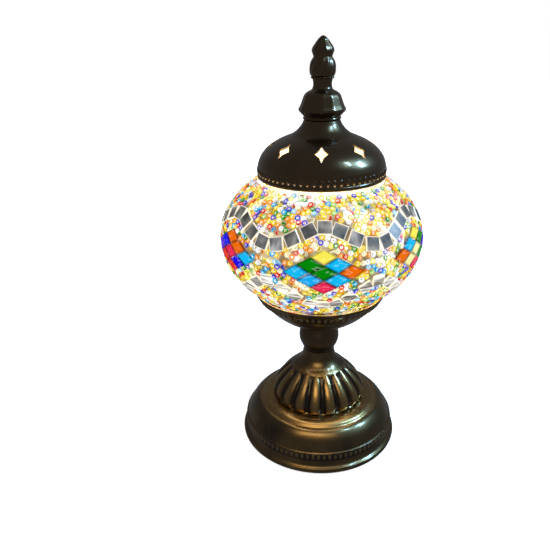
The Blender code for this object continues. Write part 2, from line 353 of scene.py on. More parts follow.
def rib(length, width, height):
    """One rolled rib: half of a long drop, lying along Z and standing out along X."""
    across, along = 6, 7
    points, faces = [], []
    for j in range(along + 1):
        t = -1 + 2 * j / along
        wide = math.sqrt(max(0.0, 1 - abs(t) ** 3.0))
        for i in range(across + 1):
            a = math.pi * i / across
            points.append((
                (height * math.sin(a) * wide - 0.35) * MM,
                -width / 2 * math.cos(a) * max(wide, 0.02) * MM,
                length / 2 * t * MM,
            ))
    stride = across + 1
    for j in range(along):
        for i in range(across):
            k = j * stride + i
            faces.append((k, k + 1, k + 1 + stride, k + stride))
        faces.append(
            tuple(j * stride + i for i in (0,)) + (
                j * stride + stride, j * stride + stride + across, j * stride + across
            )
        )
    faces.append(tuple(range(across, -1, -1)))
    faces.append(tuple(along * stride + i for i in range(stride)))
    mesh = bpy.data.meshes.new("rib")
    mesh.from_pydata(points, [], faces)
    shape = bmesh.new()
    shape.from_mesh(mesh)
    bmesh.ops.remove_doubles(shape, verts=shape.verts, dist=1e-6)
    bmesh.ops.recalc_face_normals(shape, faces=shape.faces)
    shape.to_mesh(mesh)
    shape.free()
    mesh.shade_smooth()
    return mesh


def ring_tree():
    """Sets copies of a small piece round the lamp's axis, all facing outwards."""
    tree = bpy.data.node_groups.new("set round a ring", "GeometryNodeTree")
    face = tree.interface
    face.new_socket("Geometry", in_out="INPUT", socket_type="NodeSocketGeometry")
    face.new_socket("Count", in_out="INPUT", socket_type="NodeSocketInt")
    face.new_socket("Ring Radius", in_out="INPUT", socket_type="NodeSocketFloat")
    face.new_socket("Height", in_out="INPUT", socket_type="NodeSocketFloat")
    face.new_socket("Lean", in_out="INPUT", socket_type="NodeSocketFloat")
    face.new_socket("Finish", in_out="INPUT", socket_type="NodeSocketMaterial")
    face.new_socket("Geometry", in_out="OUTPUT", socket_type="NodeSocketGeometry")
    given = put(tree, "NodeGroupInput").outputs
    circle = put(
        tree, "GeometryNodeMeshCircle", {"Vertices": given["Count"], "Radius": given["Ring Radius"]}
    ).outputs["Mesh"]
    lift = put(tree, "ShaderNodeCombineXYZ", {"Z": given["Height"]}).outputs[0]
    spots = put(tree, "GeometryNodeSetPosition", {"Geometry": circle, "Offset": lift}).outputs[0]
    outwards = put(
        tree,
        "ShaderNodeVectorMath",
        {0: put(tree, "GeometryNodeInputPosition").outputs[0], 1: (1, 1, 0)},
        operation="MULTIPLY",
    ).outputs[0]
    lean = put(tree, "ShaderNodeCombineXYZ", {"Y": given["Lean"]}).outputs[0]
    facing = put(
        tree,
        "FunctionNodeAlignRotationToVector",
        {"Vector": outwards},
        axis="X",
        pivot_axis="Z",
    ).outputs[0]
    leaning = put(
        tree,
        "FunctionNodeRotateRotation",
        {"Rotation": facing, "Rotate By": lean},
        rotation_space="LOCAL",
    ).outputs[0]
    copies = put(
        tree,
        "GeometryNodeInstanceOnPoints",
        {"Points": spots, "Instance": given["Geometry"], "Rotation": leaning},
    ).outputs[0]
    real = put(tree, "GeometryNodeRealizeInstances", {"Geometry": copies}).outputs[0]
    coated = put(
        tree, "GeometryNodeSetMaterial", {"Geometry": real, "Material": given["Finish"]}
    ).outputs[0]
    put(tree, "NodeGroupOutput", {"Geometry": coated})
    return tree


RING = ring_tree()


def grown(name, mesh, tree, **inputs):
    """Runs a geometry tree on a mesh and keeps the result as a plain mesh."""
    obj = bpy.data.objects.new(name, mesh)
    bpy.context.scene.collection.objects.link(obj)
    growth = obj.modifiers.new("growth", "NODES")
    growth.node_group = tree
    for item in tree.interface.items_tree:
        key = item.name.replace(" ", "_")
        if item.in_out == "INPUT" and key in inputs:
            growth[item.identifier] = inputs[key]
    state = bpy.context.evaluated_depsgraph_get()
    result = bpy.data.meshes.new_from_object(
        obj.evaluated_get(state), preserve_all_data_layers=True, depsgraph=state
    )
    obj.modifiers.clear()
    obj.data = result
    result.name = name
    return obj


def weld(name, *pieces):
    """Makes one piece of several that are one piece of metal."""
    mesh = bpy.data.meshes.new(name)
    whole = bmesh.new()
    for piece in pieces:
        whole.from_mesh(piece.data)
    whole.to_mesh(mesh)
    whole.free()
    for material in pieces[0].data.materials:
        mesh.materials.append(material)
    for piece in pieces:
        bpy.data.objects.remove(piece)
    obj = bpy.data.objects.new(name, mesh)
    bpy.context.scene.collection.objects.link(obj)
    return obj


band = grown("band_ribs", rib(4.6, 2.1, 0.9), RING, Count=89, Ring_Radius=57.05 * MM,
             Height=12.7 * MM, Lean=0.0, Finish=bronze)
# The ribs are lighter than the band's ground, as rubbed wear and a painted highlight.
wear_and_sheen(band, 0.72)
hand_over(weld("base", base, band), "lamp", "antique_bronze", "base_shell")


# ==== Cord grommet =====================================================================
# A moulded rubber bush pushed into the hole at the back of the base, where the cord
# goes in. Its two lips grip the sheet from outside and inside.
grommet = turned("cord_grommet", eased([
    (4.6, 59.6), (5.8, 59.0), (5.8, 58.0), (4.4, 57.6), (4.4, 54.4), (5.3, 54.0), (5.1, 52.8),
    (3.2, 52.8), (3.2, 59.3), (3.7, 59.6)], 0.3), rubber, 48)
grommet.data.transform(
    Matrix.Translation((0, 0, 12 * MM)) @ Matrix.Rotation(-math.pi / 2, 4, "X")
)
hand_over(grommet, "lamp", "black_rubber", "cord_grommet")


# ==== Stem tube and its lower nut ======================================================
# A threaded steel lamp tube runs up the middle of the whole stem. A washer and a
# hexagon nut under the base pull everything above them together.
def threaded(pitch, depth, low, high):
    """A shape for turned(): a right-hand thread between two heights."""
    def shape(radius, height, angle):
        if not low <= height <= high:
            return radius
        turns = height / pitch - angle / WHOLE_TURN
        wave = abs(2 * (turns - math.floor(turns)) - 1)
        fade = min(1.0, (height - low) / pitch, (high - height) / pitch)
        return radius - depth * wave * max(fade, 0.0)
    return shape


def ladder(radius, low, high, rise):
    """Points down the side of a cylinder, close enough together to carry a thread."""
    count = int((high - low) / rise)
    return [(radius, high - (high - low) * i / count) for i in range(count + 1)]


tube_thread = threaded(1.0, 0.32, 22, 106)
tube = turned(
    "stem_tube",
    ladder(5.0, 22, 106, 0.25) + [(3.8, 22), (3.8, 106)],
    zinc,
    40,
    lambda r, z, a: tube_thread(r, z, a) if r > 4 else r,
)
hand_over(tube, "lamp", "zinc_plated_steel", "stem_tube")


def hexagon_nut(name, body, node, across, bore, low, high):
    """A plain hexagon nut with the corners of its faces turned off."""
    corner = across / math.sqrt(3)

    def six_sided(radius, height, angle):
        if radius < bore + 0.5:
            return radius
        turn = (angle + math.pi / 6) % (math.pi / 3) - math.pi / 6
        return min(radius, across / 2 / math.cos(turn))

    outline = [(corner * 0.9, high), (corner, high - 0.6), (corner, low + 0.6),
               (corner * 0.9, low), (bore + 0.3, low), (bore, low + 0.3),
               (bore, high - 0.3), (bore + 0.3, high)]
    nut = turned(name, outline, zinc, 72, six_sided, 25)
    hand_over(nut, body, "zinc_plated_steel", node)


def washer(name, body, node, inner, outer, low, high):
    disc = turned(name, eased([(outer, high), (outer, low), (inner, low), (inner, high)], 0.2), zinc, 64)
    hand_over(disc, body, "zinc_plated_steel", node)


washer("stem_washer", "lamp", "stem_washer", 5.4, 12, 29.9, 31.2)
hexagon_nut("stem_nut", "lamp", "stem_nut", 14, 5.4, 24.6, 29.6)


# ==== Fluted bell ======================================================================
# A brass bell pressed into eighteen rounded flutes over a smooth cone. Its foot is
# tucked in and stands on the base's flat top.
FLUTES = 18
FLUTE_STEPS = 16  # points round each flute
FLUTE_FOOT, FLUTE_TOP, FLUTE_DEPTH = 32.9, 57.6, 2.7
FLUTES_FROM = 12  # the radius of the bell's neck, which has no flutes
FRONT_CREST = math.radians(-94)  # where the crest of the front flute stands
bell_outside = (
    [(5.4, 72.7), (10.6, 72.7)]
    + flow([(11.5, 72.4), (11.8, 70.8), (12.2, 68.6), (13.2, 65.4), (16, 61.6), (20.3, 58.1),
            (25.3, 53.5), (29.4, 48.9), (32.4, 44.8), (34.4, 40.8), (35.2, 37), (35, 34.8), (34.3, 33.2)], 6)
    + [(33.9, 32.8)]
)
bell_inside = flow([(30.6, 32.8), (31.2, 36.5), (30.2, 41), (27.2, 45.6), (23.6, 50.2), (19.8, 54.4),
                    (15.6, 58.6), (12.4, 63), (10.8, 68)]) + [(10.6, 71.7), (5.4, 71.7)]


def fluted(radius, height, angle):
    """Flutes that stand out between their foot and top, rounded at their tops."""
    if radius < FLUTES_FROM or not FLUTE_FOOT < height < FLUTE_TOP:
        return radius
    pitch = (angle - FRONT_CREST) * FLUTES / WHOLE_TURN + 0.5
    across = abs(pitch - math.floor(pitch) - 0.5) * 2
    top = min(1.0, (FLUTE_TOP - height) / 7.5)
    foot = min(1.0, (height - FLUTE_FOOT) / 2.0)
    half = 0.80 * math.sqrt(1 - (1 - top) ** 2.2)
    lobe = math.sqrt(max(0.0, 1 - (across / max(half, 0.02)) ** 2.0)) if across < half else 0.0
    depth = FLUTE_DEPTH * math.sqrt(top) * math.sqrt(foot)
    return radius - depth * (1 - lobe)


def pressed_outside(radius, height, angle):
    """The bell's outer side is fluted and its inner side is plain."""
    outer = any(abs(radius - p) < 1e-9 and abs(height - q) < 1e-9 for p, q in bell_outside)
    return fluted(radius, height, angle) if outer else radius


bell = turned(
    "fluted_bell", bell_outside + bell_inside, wear_and_sheen_bronze, FLUTES * FLUTE_STEPS, pressed_outside, 60
)
# The flute crests are lighter, as rubbed wear and a painted highlight; the valleys are darker, as painted
# shade, and the smooth cone above is darker too.
spots = np.array([v.co for v in bell.data.vertices]) / MM
drawn_radii = np.repeat([r for r, z in bell_outside + bell_inside], FLUTES * FLUTE_STEPS)
sunk = drawn_radii - np.hypot(spots[:, 0], spots[:, 1])
smooth_cone = np.clip((spots[:, 2] - 56) / 4, 0, 1) * 0.55
wear_and_sheen(bell, np.clip(0.9 - sunk / 1.6 - smooth_cone, 0, 1))
hand_over(bell, "lamp", "antique_bronze", "fluted_bell")


# ==== Neck knop ========================================================================
# A spun brass bead between the bell and the cup, open below and closed above by a
# flange that the tube passes through.
knop = turned("neck_knop", eased(
    [(5.4, 93), (12.2, 93)]
    + flow([(12.5, 92.6), (13.3, 90.2), (14.5, 87), (14.9, 83.2), (14.3, 79.2), (12.7, 75.6), (11.7, 73.4)])
    + [(11.6, 73), (10.4, 73)]
    + flow([(11.6, 76.2), (13.1, 79.6), (13.8, 83.2), (13.4, 86.8), (12.0, 90.4)])
    + [(11.4, 92), (5.4, 92)]), bronze, 96)
hand_over(knop, "lamp", "antique_bronze", "neck_knop")


# ==== Cup ==============================================================================
# A spun brass cup that the globe sits in, with a row of rolled ribs under a plain rim.
# A washer and a nut inside it clamp it to the tube.
CUP_OUTSIDE = (
    [(47.1, 123.3), (47.5, 123.0), (47.4, 121.4), (46.7, 120.7)]
    + flow(
        [
            (46.2, 120.1), (44.6, 117.9), (42.6, 115.3), (39.5, 111.6), (34, 106), (27, 100.6),
            (20, 96.6), (14.6, 94.0)
        ]
    )
    + [(13.4, 93.3), (5.4, 93.3)]
)
CUP_INSIDE = [(5.4, 94.3), (13.4, 94.4)] + flow(
    [(19.6, 97.6), (26.4, 101.6), (33.2, 106.9), (38.7, 112.4), (43.2, 117.8), (45.2, 120.5)]
) + [(46.3, 123.0), (46.6, 123.3)]
cup = turned("cup", eased(CUP_OUTSIDE + CUP_INSIDE, 0.25), wear_and_sheen_bronze, 168)
# The ground between the ribs is darker, as painted shade, and the ribs are lighter, as rubbed wear and a
# painted highlight.
heights = np.array([v.co.z for v in cup.data.vertices]) / MM
wear_and_sheen(cup, np.where((heights > 113.5) & (heights < 120), 0.05, 0.33))
cup_ribs = grown("cup_ribs", rib(5.8, 2.2, 1.15), RING, Count=68, Ring_Radius=44.1 * MM,
                 Height=117.2 * MM, Lean=math.radians(37), Finish=wear_and_sheen_bronze)
wear_and_sheen(cup_ribs, 0.75)
hand_over(weld("cup", cup, cup_ribs), "lamp", "antique_bronze", "cup")
washer("cup_washer", "lamp", "cup_washer", 5.4, 10.6, 94.6, 95.8)
hexagon_nut("cup_nut", "lamp", "cup_nut", 14, 5.4, 96.1, 100.1)


# ==== Seat dish and gasket =============================================================
# A pressed steel dish on the tube carries the globe's lower neck. A flat rubber ring
# keeps glass and steel apart.
dish = turned("seat_dish", eased(
    [
        (32, 107.6), (32, 106.6), (19, 106.6), (13.4, 100.4), (5.4, 100.4), (5.4, 101.4), (13, 101.4),
        (18.6, 107.6)
    ]), zinc, 96)
hand_over(dish, "lamp", "zinc_plated_steel", "seat_dish")
gasket = turned(
    "glass_gasket", eased([(31.5, 109.1), (31.5, 107.9), (26.5, 107.9), (26.5, 109.1)], 0.3), rubber,
    96
)
hand_over(gasket, "lamp", "black_rubber", "glass_gasket")


# ==== Lampholder =======================================================================
# A black moulded holder in two halves: a base screwed to the tube and a sleeve with an
# outer thread. Inside are the core, its terminals, the brass screw shell and contact.
bakelite, tree, shader, place = finish("black bakelite", Specular_IOR_Level=0.5)
with_grime(tree, shader, place, (0.016, 0.015, 0.014), (0.05, 0.045, 0.04),
           cloud=70, grain=1200, smooth=0.24, rough=0.46, bump=0.10)
brass, tree, shader, place = finish("bare brass", Metallic=1.0)
with_grime(tree, shader, place, (0.78, 0.56, 0.24), (0.38, 0.24, 0.10),
           cloud=110, grain=1600, smooth=0.18, rough=0.42, bump=0.06)


def gripped(radius, height, angle):
    """Shallow grip flutes round the holder's base."""
    return radius - 0.35 * abs(math.sin(angle * 12)) if radius > 13 and height < 112.4 else radius


holder_base = turned("holder_base", eased(
    [
        (13.8, 113), (13.8, 107), (11, 101.7), (5.4, 101.7), (5.4, 107.3), (11.8, 108.9), (11.8, 113)
    ], 0.4), bakelite, 144, gripped)
hand_over(holder_base, "lamp", "black_bakelite", "holder_base")
sleeve_thread = threaded(2.4, 0.7, 115, 136)
sleeve = turned(
    "holder_sleeve",
    [(12.9, 139), (13.5, 138.2)] + ladder(13.8, 113.3, 137.6, 0.3)
    + [(12.4, 113.3), (12.4, 134.4), (8.4, 136.4), (8.4, 139)],
    bakelite,
    72,
    lambda r, z, a: sleeve_thread(r, z, a) if r > 13.7 else r,
)
hand_over(sleeve, "lamp", "black_bakelite", "holder_sleeve")
core = turned(
    "holder_core", eased([(0, 117.9), (11.8, 117.9), (11.8, 113.6), (0, 113.6)], 0.4, False),
    bakelite, 64
)
hand_over(core, "lamp", "black_bakelite", "holder_core")
CAP_THREAD = 2.82
shell_thread = threaded(CAP_THREAD, 0.30, 119.5, 137)
screw_shell = turned(
    "holder_screw_shell",
    ladder(7.8, 118.2, 138.2, 0.35) + ladder(7.32, 118.2, 138.2, 0.35)[::-1],
    brass,
    48,
    lambda r, z, a: shell_thread(r, z, a) + (0.0 if r > 7.6 else 0.25),
)
hand_over(screw_shell, "lamp", "brass", "holder_screw_shell")
contact = turned(
    "centre_contact", flow([(0, 120.4), (1.2, 120.3), (2.0, 119.6), (2.6, 118.2)]) + [(0, 118.2)],
    brass, 32
)
hand_over(contact, "lamp", "brass", "centre_contact")


def block(name, size, centre, material, ease=0.25):
    """A small rectangular block with eased edges."""
    shape = bmesh.new()
    bmesh.ops.create_cube(shape, size=1)
    bmesh.ops.scale(shape, vec=Vector(size) * MM, verts=shape.verts)
    bmesh.ops.bevel(shape, geom=shape.edges[:], offset=ease * MM, segments=2, affect="EDGES", profile=0.5)
    bmesh.ops.translate(shape, vec=Vector(centre) * MM, verts=shape.verts)
    mesh = bpy.data.meshes.new(name)
    shape.to_mesh(mesh)
    shape.free()
    mesh.materials.append(material)
    obj = bpy.data.objects.new(name, mesh)
    bpy.context.scene.collection.objects.link(obj)
    return obj


for number, side in ((1, -1), (2, 1)):
    terminal = block(f"terminal_{number}", (5, 4, 3.2), (side * 6.5, 0, 111.7), brass)
    hand_over(terminal, "lamp", "brass", f"terminal_{number}")
    head = turned(
        f"terminal_screw_{number}",
        eased([(0, 0.7), (1.4, 0.7), (1.4, -0.7), (0, -0.7)], 0.25, False), zinc, 24
    )
    head.data.transform(
        Matrix.Translation(Vector((side * 10, 0, 111.7)) * MM) @ Matrix.Rotation(math.pi / 2, 4, "Y")
    )
    hand_over(head, "lamp", "zinc_plated_steel", f"terminal_screw_{number}")


# ==== Bulb =============================================================================
# A small golf-ball bulb with a screw cap: clear glass, a glass stem, two lead wires and
# four glowing filament rods. Its tip contact rides up the holder's thread with it.
tip = turned(
    "bulb_contact",
    flow([(0, 122.4), (2.0, 122.4)]) + flow([(2.4, 122.2), (2.2, 121.5), (1.2, 120.95), (0, 120.8)]),
    zinc, 32
)
hand_over(tip, "bulb_thread", "zinc_plated_steel", "bulb_contact")
insulator = turned(
    "bulb_insulator",
    eased([(0, 125.4), (6.2, 125.4), (5.8, 124.4), (2.9, 122.7), (0, 122.7)], 0.3, False), bakelite,
    48
)
hand_over(insulator, "bulb", "black_bakelite", "bulb_insulator")
cap_thread = threaded(CAP_THREAD, 0.45, 126, 138)
bulb_cap = turned("bulb_cap", ladder(6.85, 125.7, 141.7, 0.3) + [(6.2, 125.7), (6.2, 141.7)], zinc, 48,
                  lambda r, z, a: cap_thread(r, z, a) if r > 6.5 else r)
hand_over(bulb_cap, "bulb", "zinc_plated_steel", "bulb_cap")

bulb_clear, tree, shader, place = finish(
    "bulb glass", Transmission_Weight=1.0, IOR=1.45, Metallic=0.0, Alpha=0.35
)
cloud = put(tree, "ShaderNodeTexNoise", {"Vector": place, "Scale": 60.0})
join(
    tree, ramp(tree, cloud.outputs["Fac"], (0.3, (0.95, 0.97, 0.97)), (0.7, (1, 1, 1))),
    shader.inputs["Base Color"]
)
join(
    tree,
    put(
        tree, "ShaderNodeMapRange", {"Value": cloud.outputs["Fac"], "To Min": 0.01, "To Max": 0.05}
    ).outputs["Result"],
    shader.inputs["Roughness"]
)


def ball(radius, centre, first, last, count):
    """Points down a sphere's side, from one angle off its top to another."""
    angles = [math.radians(first + (last - first) * i / count) for i in range(count + 1)]
    return [(radius * math.sin(a), centre + radius * math.cos(a)) for a in angles]


bulb_glass = turned(
    "bulb_glass",
    [(0, 194.5)] + ball(22.5, 172, 6, 124, 18) + flow(
        [(17.6, 156.6), (13.4, 152.4), (9.8, 147.4), (7.6, 143.6), (7.3, 142)]
    )
    + [(6.6, 142)] + flow([(6.8, 143.8), (9.1, 147.7), (12.8, 152.8), (16.8, 157.1)])
    + ball(21.7, 172, 6, 124, 18)[::-1] + [(0, 193.7)],
    bulb_clear, 72)
hand_over(bulb_glass, "bulb", "clear_glass", "bulb_glass")
stem_glass = turned(
    "bulb_stem",
    flow([(0, 160), (1.2, 159.8), (1.6, 158), (1.7, 150), (2.6, 146.4), (4.2, 143.7)]) + [(0, 143.7)],
    bulb_clear, 32
)
hand_over(stem_glass, "bulb", "clear_glass", "bulb_stem")

phosphor, tree, shader, place = finish("glowing phosphor", Roughness=0.6, Emission_Strength=9.0)
spots = put(tree, "ShaderNodeTexNoise", {"Vector": place, "Scale": 700.0}).outputs["Fac"]
join(tree, ramp(tree, spots, (0.3, (1.0, 0.62, 0.20)), (0.7, (1.0, 0.80, 0.42))), shader.inputs["Base Color"])
join(
    tree, ramp(tree, spots, (0.3, (1.0, 0.74, 0.36)), (0.7, (1.0, 0.86, 0.56))),
    shader.inputs["Emission Color"]
)


def rod(name, bends, radius, material):
    """A round wire through points, with closed ends."""
    curve = bpy.data.curves.new(name, "CURVE")
    curve.dimensions = "3D"
    curve.bevel_depth = radius * MM
    curve.bevel_resolution = 3
    curve.use_fill_caps = True
    line = curve.splines.new("POLY")
    line.points.add(len(bends) - 1)
    for point, (x, y, z) in zip(line.points, bends):
        point.co = (x * MM, y * MM, z * MM, 1)
    maker = bpy.data.objects.new(name, curve)
    bpy.context.scene.collection.objects.link(maker)
    state = bpy.context.evaluated_depsgraph_get()
    mesh = bpy.data.meshes.new_from_object(maker.evaluated_get(state))
    bpy.data.objects.remove(maker)
    shape = bmesh.new()
    shape.from_mesh(mesh)
    bmesh.ops.remove_doubles(shape, verts=shape.verts, dist=1e-6)
    bmesh.ops.recalc_face_normals(shape, faces=shape.faces)
    shape.to_mesh(mesh)
    shape.free()
    mesh.materials.clear()
    mesh.materials.append(material)
    mesh.shade_smooth()
    mesh.set_sharp_from_angle(angle=math.radians(40))
    obj = bpy.data.objects.new(name, mesh)
    bpy.context.scene.collection.objects.link(obj)
    return obj


for i in range(4):
    angle = math.radians(45 + 90 * i)
    x, y = math.cos(angle), math.sin(angle)
    filament = rod(f"filament_{i + 1}", [(7 * x, 7 * y, 161), (3.4 * x, 3.4 * y, 186)], 0.7, phosphor)
    hand_over(filament, "bulb", "yellow_phosphor", f"filament_{i + 1}")
for i, side in enumerate((1, -1)):
    bends = [(2.8 * side, 0, 149.5), (4.4 * side, 0, 158), (6.4 * side, 0, 159.4)]
    hand_over(rod(f"lead_wire_{i + 1}", bends, 0.35, zinc), "bulb", "zinc_plated_steel", f"lead_wire_{i + 1}")


# ==== Globe glass ======================================================================
# A blown clear globe, open at both ends, with a short neck below for the gasket and a
# rolled lip above. The mosaic is stuck to its outside.
GLOBE_RADIUS, GLOBE_HALF, GLOBE_CENTRE = 70.8, 52.6, 163.6  # over the beads


def globe_side(sink, top, bottom, count):
    """Points down the globe's side, some way under its beads."""
    rises = [math.asin((z - GLOBE_CENTRE) / GLOBE_HALF) for z in (top, bottom)]
    return [
        (
            (GLOBE_RADIUS - sink) * math.cos(rises[0] + (rises[1] - rises[0]) * i / count),
            GLOBE_CENTRE + (GLOBE_HALF - sink) * math.sin(rises[0] + (rises[1] - rises[0]) * i / count),
        )
        for i in range(count + 1)
    ]


clear_glass, tree, shader, place = finish(
    "clear blown glass", Transmission_Weight=1.0, IOR=1.5, Metallic=0.0, Alpha=0.35
)
swirl = put(
    tree, "ShaderNodeTexNoise", {"Vector": place, "Scale": 22.0, "Detail": 2.0, "Distortion": 1.0}
).outputs["Fac"]
join(
    tree, ramp(tree, swirl, (0.3, (0.90, 0.95, 0.93)), (0.7, (0.98, 1.0, 0.99))),
    shader.inputs["Base Color"]
)
join(
    tree,
    put(tree, "ShaderNodeMapRange", {"Value": swirl, "To Min": 0.02, "To Max": 0.09}).outputs["Result"],
    shader.inputs["Roughness"]
)
waves = put(tree, "ShaderNodeBump", {"Height": swirl, "Strength": 0.12, "Distance": 0.0005})
join(tree, waves.outputs["Normal"], shader.inputs["Normal"])
glass = turned(
    "globe_glass",
    flow([(39.0, 211.2), (40.2, 210.9), (40.9, 209.9), (40.7, 208.6), (40.1, 207.4), (40, 205.6)], 3)
    + globe_side(2.2, 204.6, 119.4, 40) + flow(
        [(31.4, 118.4), (30.2, 117.2), (30, 115.6)], 3
    ) + [(30, 109.4), (27.8, 109.4)]
    + flow([(27.8, 116.4), (28.4, 118.2), (30.2, 119.8)], 3)
    + globe_side(4.2, 203.4, 121.4, 40)[::-1] + flow(
        [(38.2, 205.6), (37.8, 207.2), (37.8, 209.8), (38.2, 210.8)], 3
    ),
    clear_glass, 96)
hand_over(glass, "globe", "clear_glass", "globe_glass")


# ==== Grout ============================================================================
# Cream grout rubbed into a thin coat over the glass. It glows by itself, as painted light from the
# bulb inside: white in patches, tan elsewhere, and darker against the tiles as painted shade.
MEDALLIONS = 6
FIRST_MEDALLION = 2.0  # degrees round from the lamp's front

def backlight_group():
    """A mask of patches where the glow turns white, more of them higher up and most at the lip."""
    tree = bpy.data.node_groups.new("backlight", "ShaderNodeTree")
    tree.interface.new_socket("Place", in_out="INPUT", socket_type="NodeSocketVector")
    tree.interface.new_socket("Hot", in_out="OUTPUT", socket_type="NodeSocketFloat")
    place = put(tree, "NodeGroupInput").outputs["Place"]
    patch = put(
        tree, "ShaderNodeTexNoise", {"Vector": place, "Scale": 46.0, "Detail": 3.0, "Roughness": 0.6}
    ).outputs["Fac"]
    height = put(tree, "ShaderNodeSeparateXYZ", {"Vector": place}).outputs["Z"]
    lip = put(
        tree, "ShaderNodeMapRange",
        {"Value": height, "From Min": 0.196, "From Max": 0.204, "To Max": 0.12}
    ).outputs["Result"]
    girth = put(
        tree, "ShaderNodeMapRange",
        {"Value": height, "From Min": 0.140, "From Max": 0.152, "To Max": 0.03}
    ).outputs["Result"]
    sum_of = put(tree, "ShaderNodeMath", {0: patch, 1: lip}, operation="ADD").outputs[0]
    sum_of = put(tree, "ShaderNodeMath", {0: sum_of, 1: girth}, operation="ADD").outputs[0]
    hot = put(
        tree, "ShaderNodeMapRange", {"Value": sum_of, "From Min": 0.57, "From Max": 0.65}
    ).outputs["Result"]
    put(tree, "NodeGroupOutput", {"Hot": hot})
    return tree


BACKLIGHT = backlight_group()


def shine(tree, shader, seen, mirrored):
    """How strongly lit glass glows when it is looked at, and when metal mirrors it."""
    glossy = put(tree, "ShaderNodeLightPath").outputs["Is Glossy Ray"]
    strength = put(tree, "ShaderNodeMapRange", {"Value": glossy, "To Min": seen, "To Max": mirrored})
    join(tree, strength.outputs["Result"], shader.inputs["Emission Strength"])


grout, tree, shader, place = finish("glowing grout", Roughness=0.75)
fine = put(tree, "ShaderNodeTexNoise", {"Vector": place, "Scale": 420.0, "Detail": 2.0}).outputs["Fac"]
stain = put(tree, "ShaderNodeTexNoise", {"Vector": place, "Scale": 75.0, "Detail": 3.0}).outputs["Fac"]
join(
    tree, ramp(tree, stain, (0.3, (0.08, 0.055, 0.030)), (0.6, (0.17, 0.14, 0.10))),
    shader.inputs["Base Color"]
)
# The glow turns less white against the tiles, as painted shade.
shade = put(tree, "ShaderNodeAttribute", {}, attribute_name="thick").outputs["Fac"]
hot = put(tree, "ShaderNodeGroup", {"Place": place}, node_tree=BACKLIGHT).outputs["Hot"]
hot = put(
    tree, "ShaderNodeMath", {0: shade, 1: -0.55, 2: hot}, operation="MULTIPLY_ADD", use_clamp=True
).outputs[0]
dull = ramp(
    tree, stain, (0.35, (0.10, 0.062, 0.024)), (0.50, (0.24, 0.165, 0.070)),
    (0.62, (0.46, 0.37, 0.22))
)
light = put(
    tree, "ShaderNodeMix", {"Factor": hot, "A": dull, "B": (1.0, 0.95, 0.84, 1)}, data_type="RGBA"
).outputs[2]
join(tree, light, shader.inputs["Emission Color"])
shine(tree, shader, seen=1.15, mirrored=9.0)
rough = put(tree, "ShaderNodeBump", {"Height": fine, "Strength": 0.5, "Distance": 0.0003})
join(tree, rough.outputs["Normal"], shader.inputs["Normal"])


def settled(azimuth, height, sink, spin=0.0):
    """The place of a tile on the globe: X along its girth, Y up its side, Z outwards."""
    rise = math.asin((height - GLOBE_CENTRE) / GLOBE_HALF)
    a = math.radians(azimuth)
    out = Vector((
        math.sin(a) * math.cos(rise) / GLOBE_RADIUS,
        -math.cos(a) * math.cos(rise) / GLOBE_RADIUS,
        math.sin(rise) / GLOBE_HALF,
    )).normalized()
    east = Vector((math.cos(a), math.sin(a), 0))
    north = out.cross(east)
    radius = GLOBE_RADIUS * math.cos(rise)
    spot = Vector((radius * math.sin(a), -radius * math.cos(a), height)) - out * sink
    axes = Matrix((east, north, out)).transposed().to_4x4()
    axes.translation = spot
    return axes @ Matrix.Rotation(spin, 4, "Z")


# ==== Mosaic tiles =====================================================================
# Six medallions of nine lozenges of coloured glass lie round the girth. Two waves of
# square mirror tiles pass over and under them. All are cut by hand and pressed in grout.
TILE_BED = 1.70  # how far a tile's back lies under the beads' tops
dice = random.Random(7)
LOZENGE = (8.35, 5.05)  # half of its width and of its height
MEDALLION_HALF_WIDTH, MEDALLION_HALF_HEIGHT = 21.0, 15.2  # degrees, and millimetres
BLUE_GREEN, SKY, GREEN = (0.004, 0.50, 0.92), (0.006, 0.42, 0.88), (0.0, 0.25, 0.002)
YELLOW, ORANGE, ROSE = (1.0, 0.84, 0.09), (0.88, 0.15, 0.0), (0.86, 0.02, 0.09)
DEEP_BLUE, LEMON, VIOLET = (0.01, 0.0, 0.80), (1.0, 0.90, 0.36), (0.11, 0.0, 0.72)
RED = (0.80, 0.02, 0.01)
FRONT_COLOURS = {
    (0, 0): YELLOW, (0, 1): GREEN, (1, 0): BLUE_GREEN, (0, 2): BLUE_GREEN, (1, 1): GREEN,
    (2, 0): ORANGE, (1, 2): SKY, (2, 1): BLUE_GREEN, (2, 2): ROSE,
}
RIGHT_COLOURS = {
    (0, 0): YELLOW, (0, 1): BLUE_GREEN, (1, 0): GREEN, (0, 2): ORANGE, (1, 1): LEMON,
    (2, 0): VIOLET, (1, 2): LEMON, (2, 1): GREEN, (2, 2): ROSE,
}
LEFT_COLOURS = {
    (0, 0): ORANGE, (0, 1): DEEP_BLUE, (1, 0): ORANGE, (0, 2): VIOLET, (1, 1): ROSE,
    (2, 0): BLUE_GREEN, (1, 2): RED, (2, 1): DEEP_BLUE, (2, 2): RED,
}


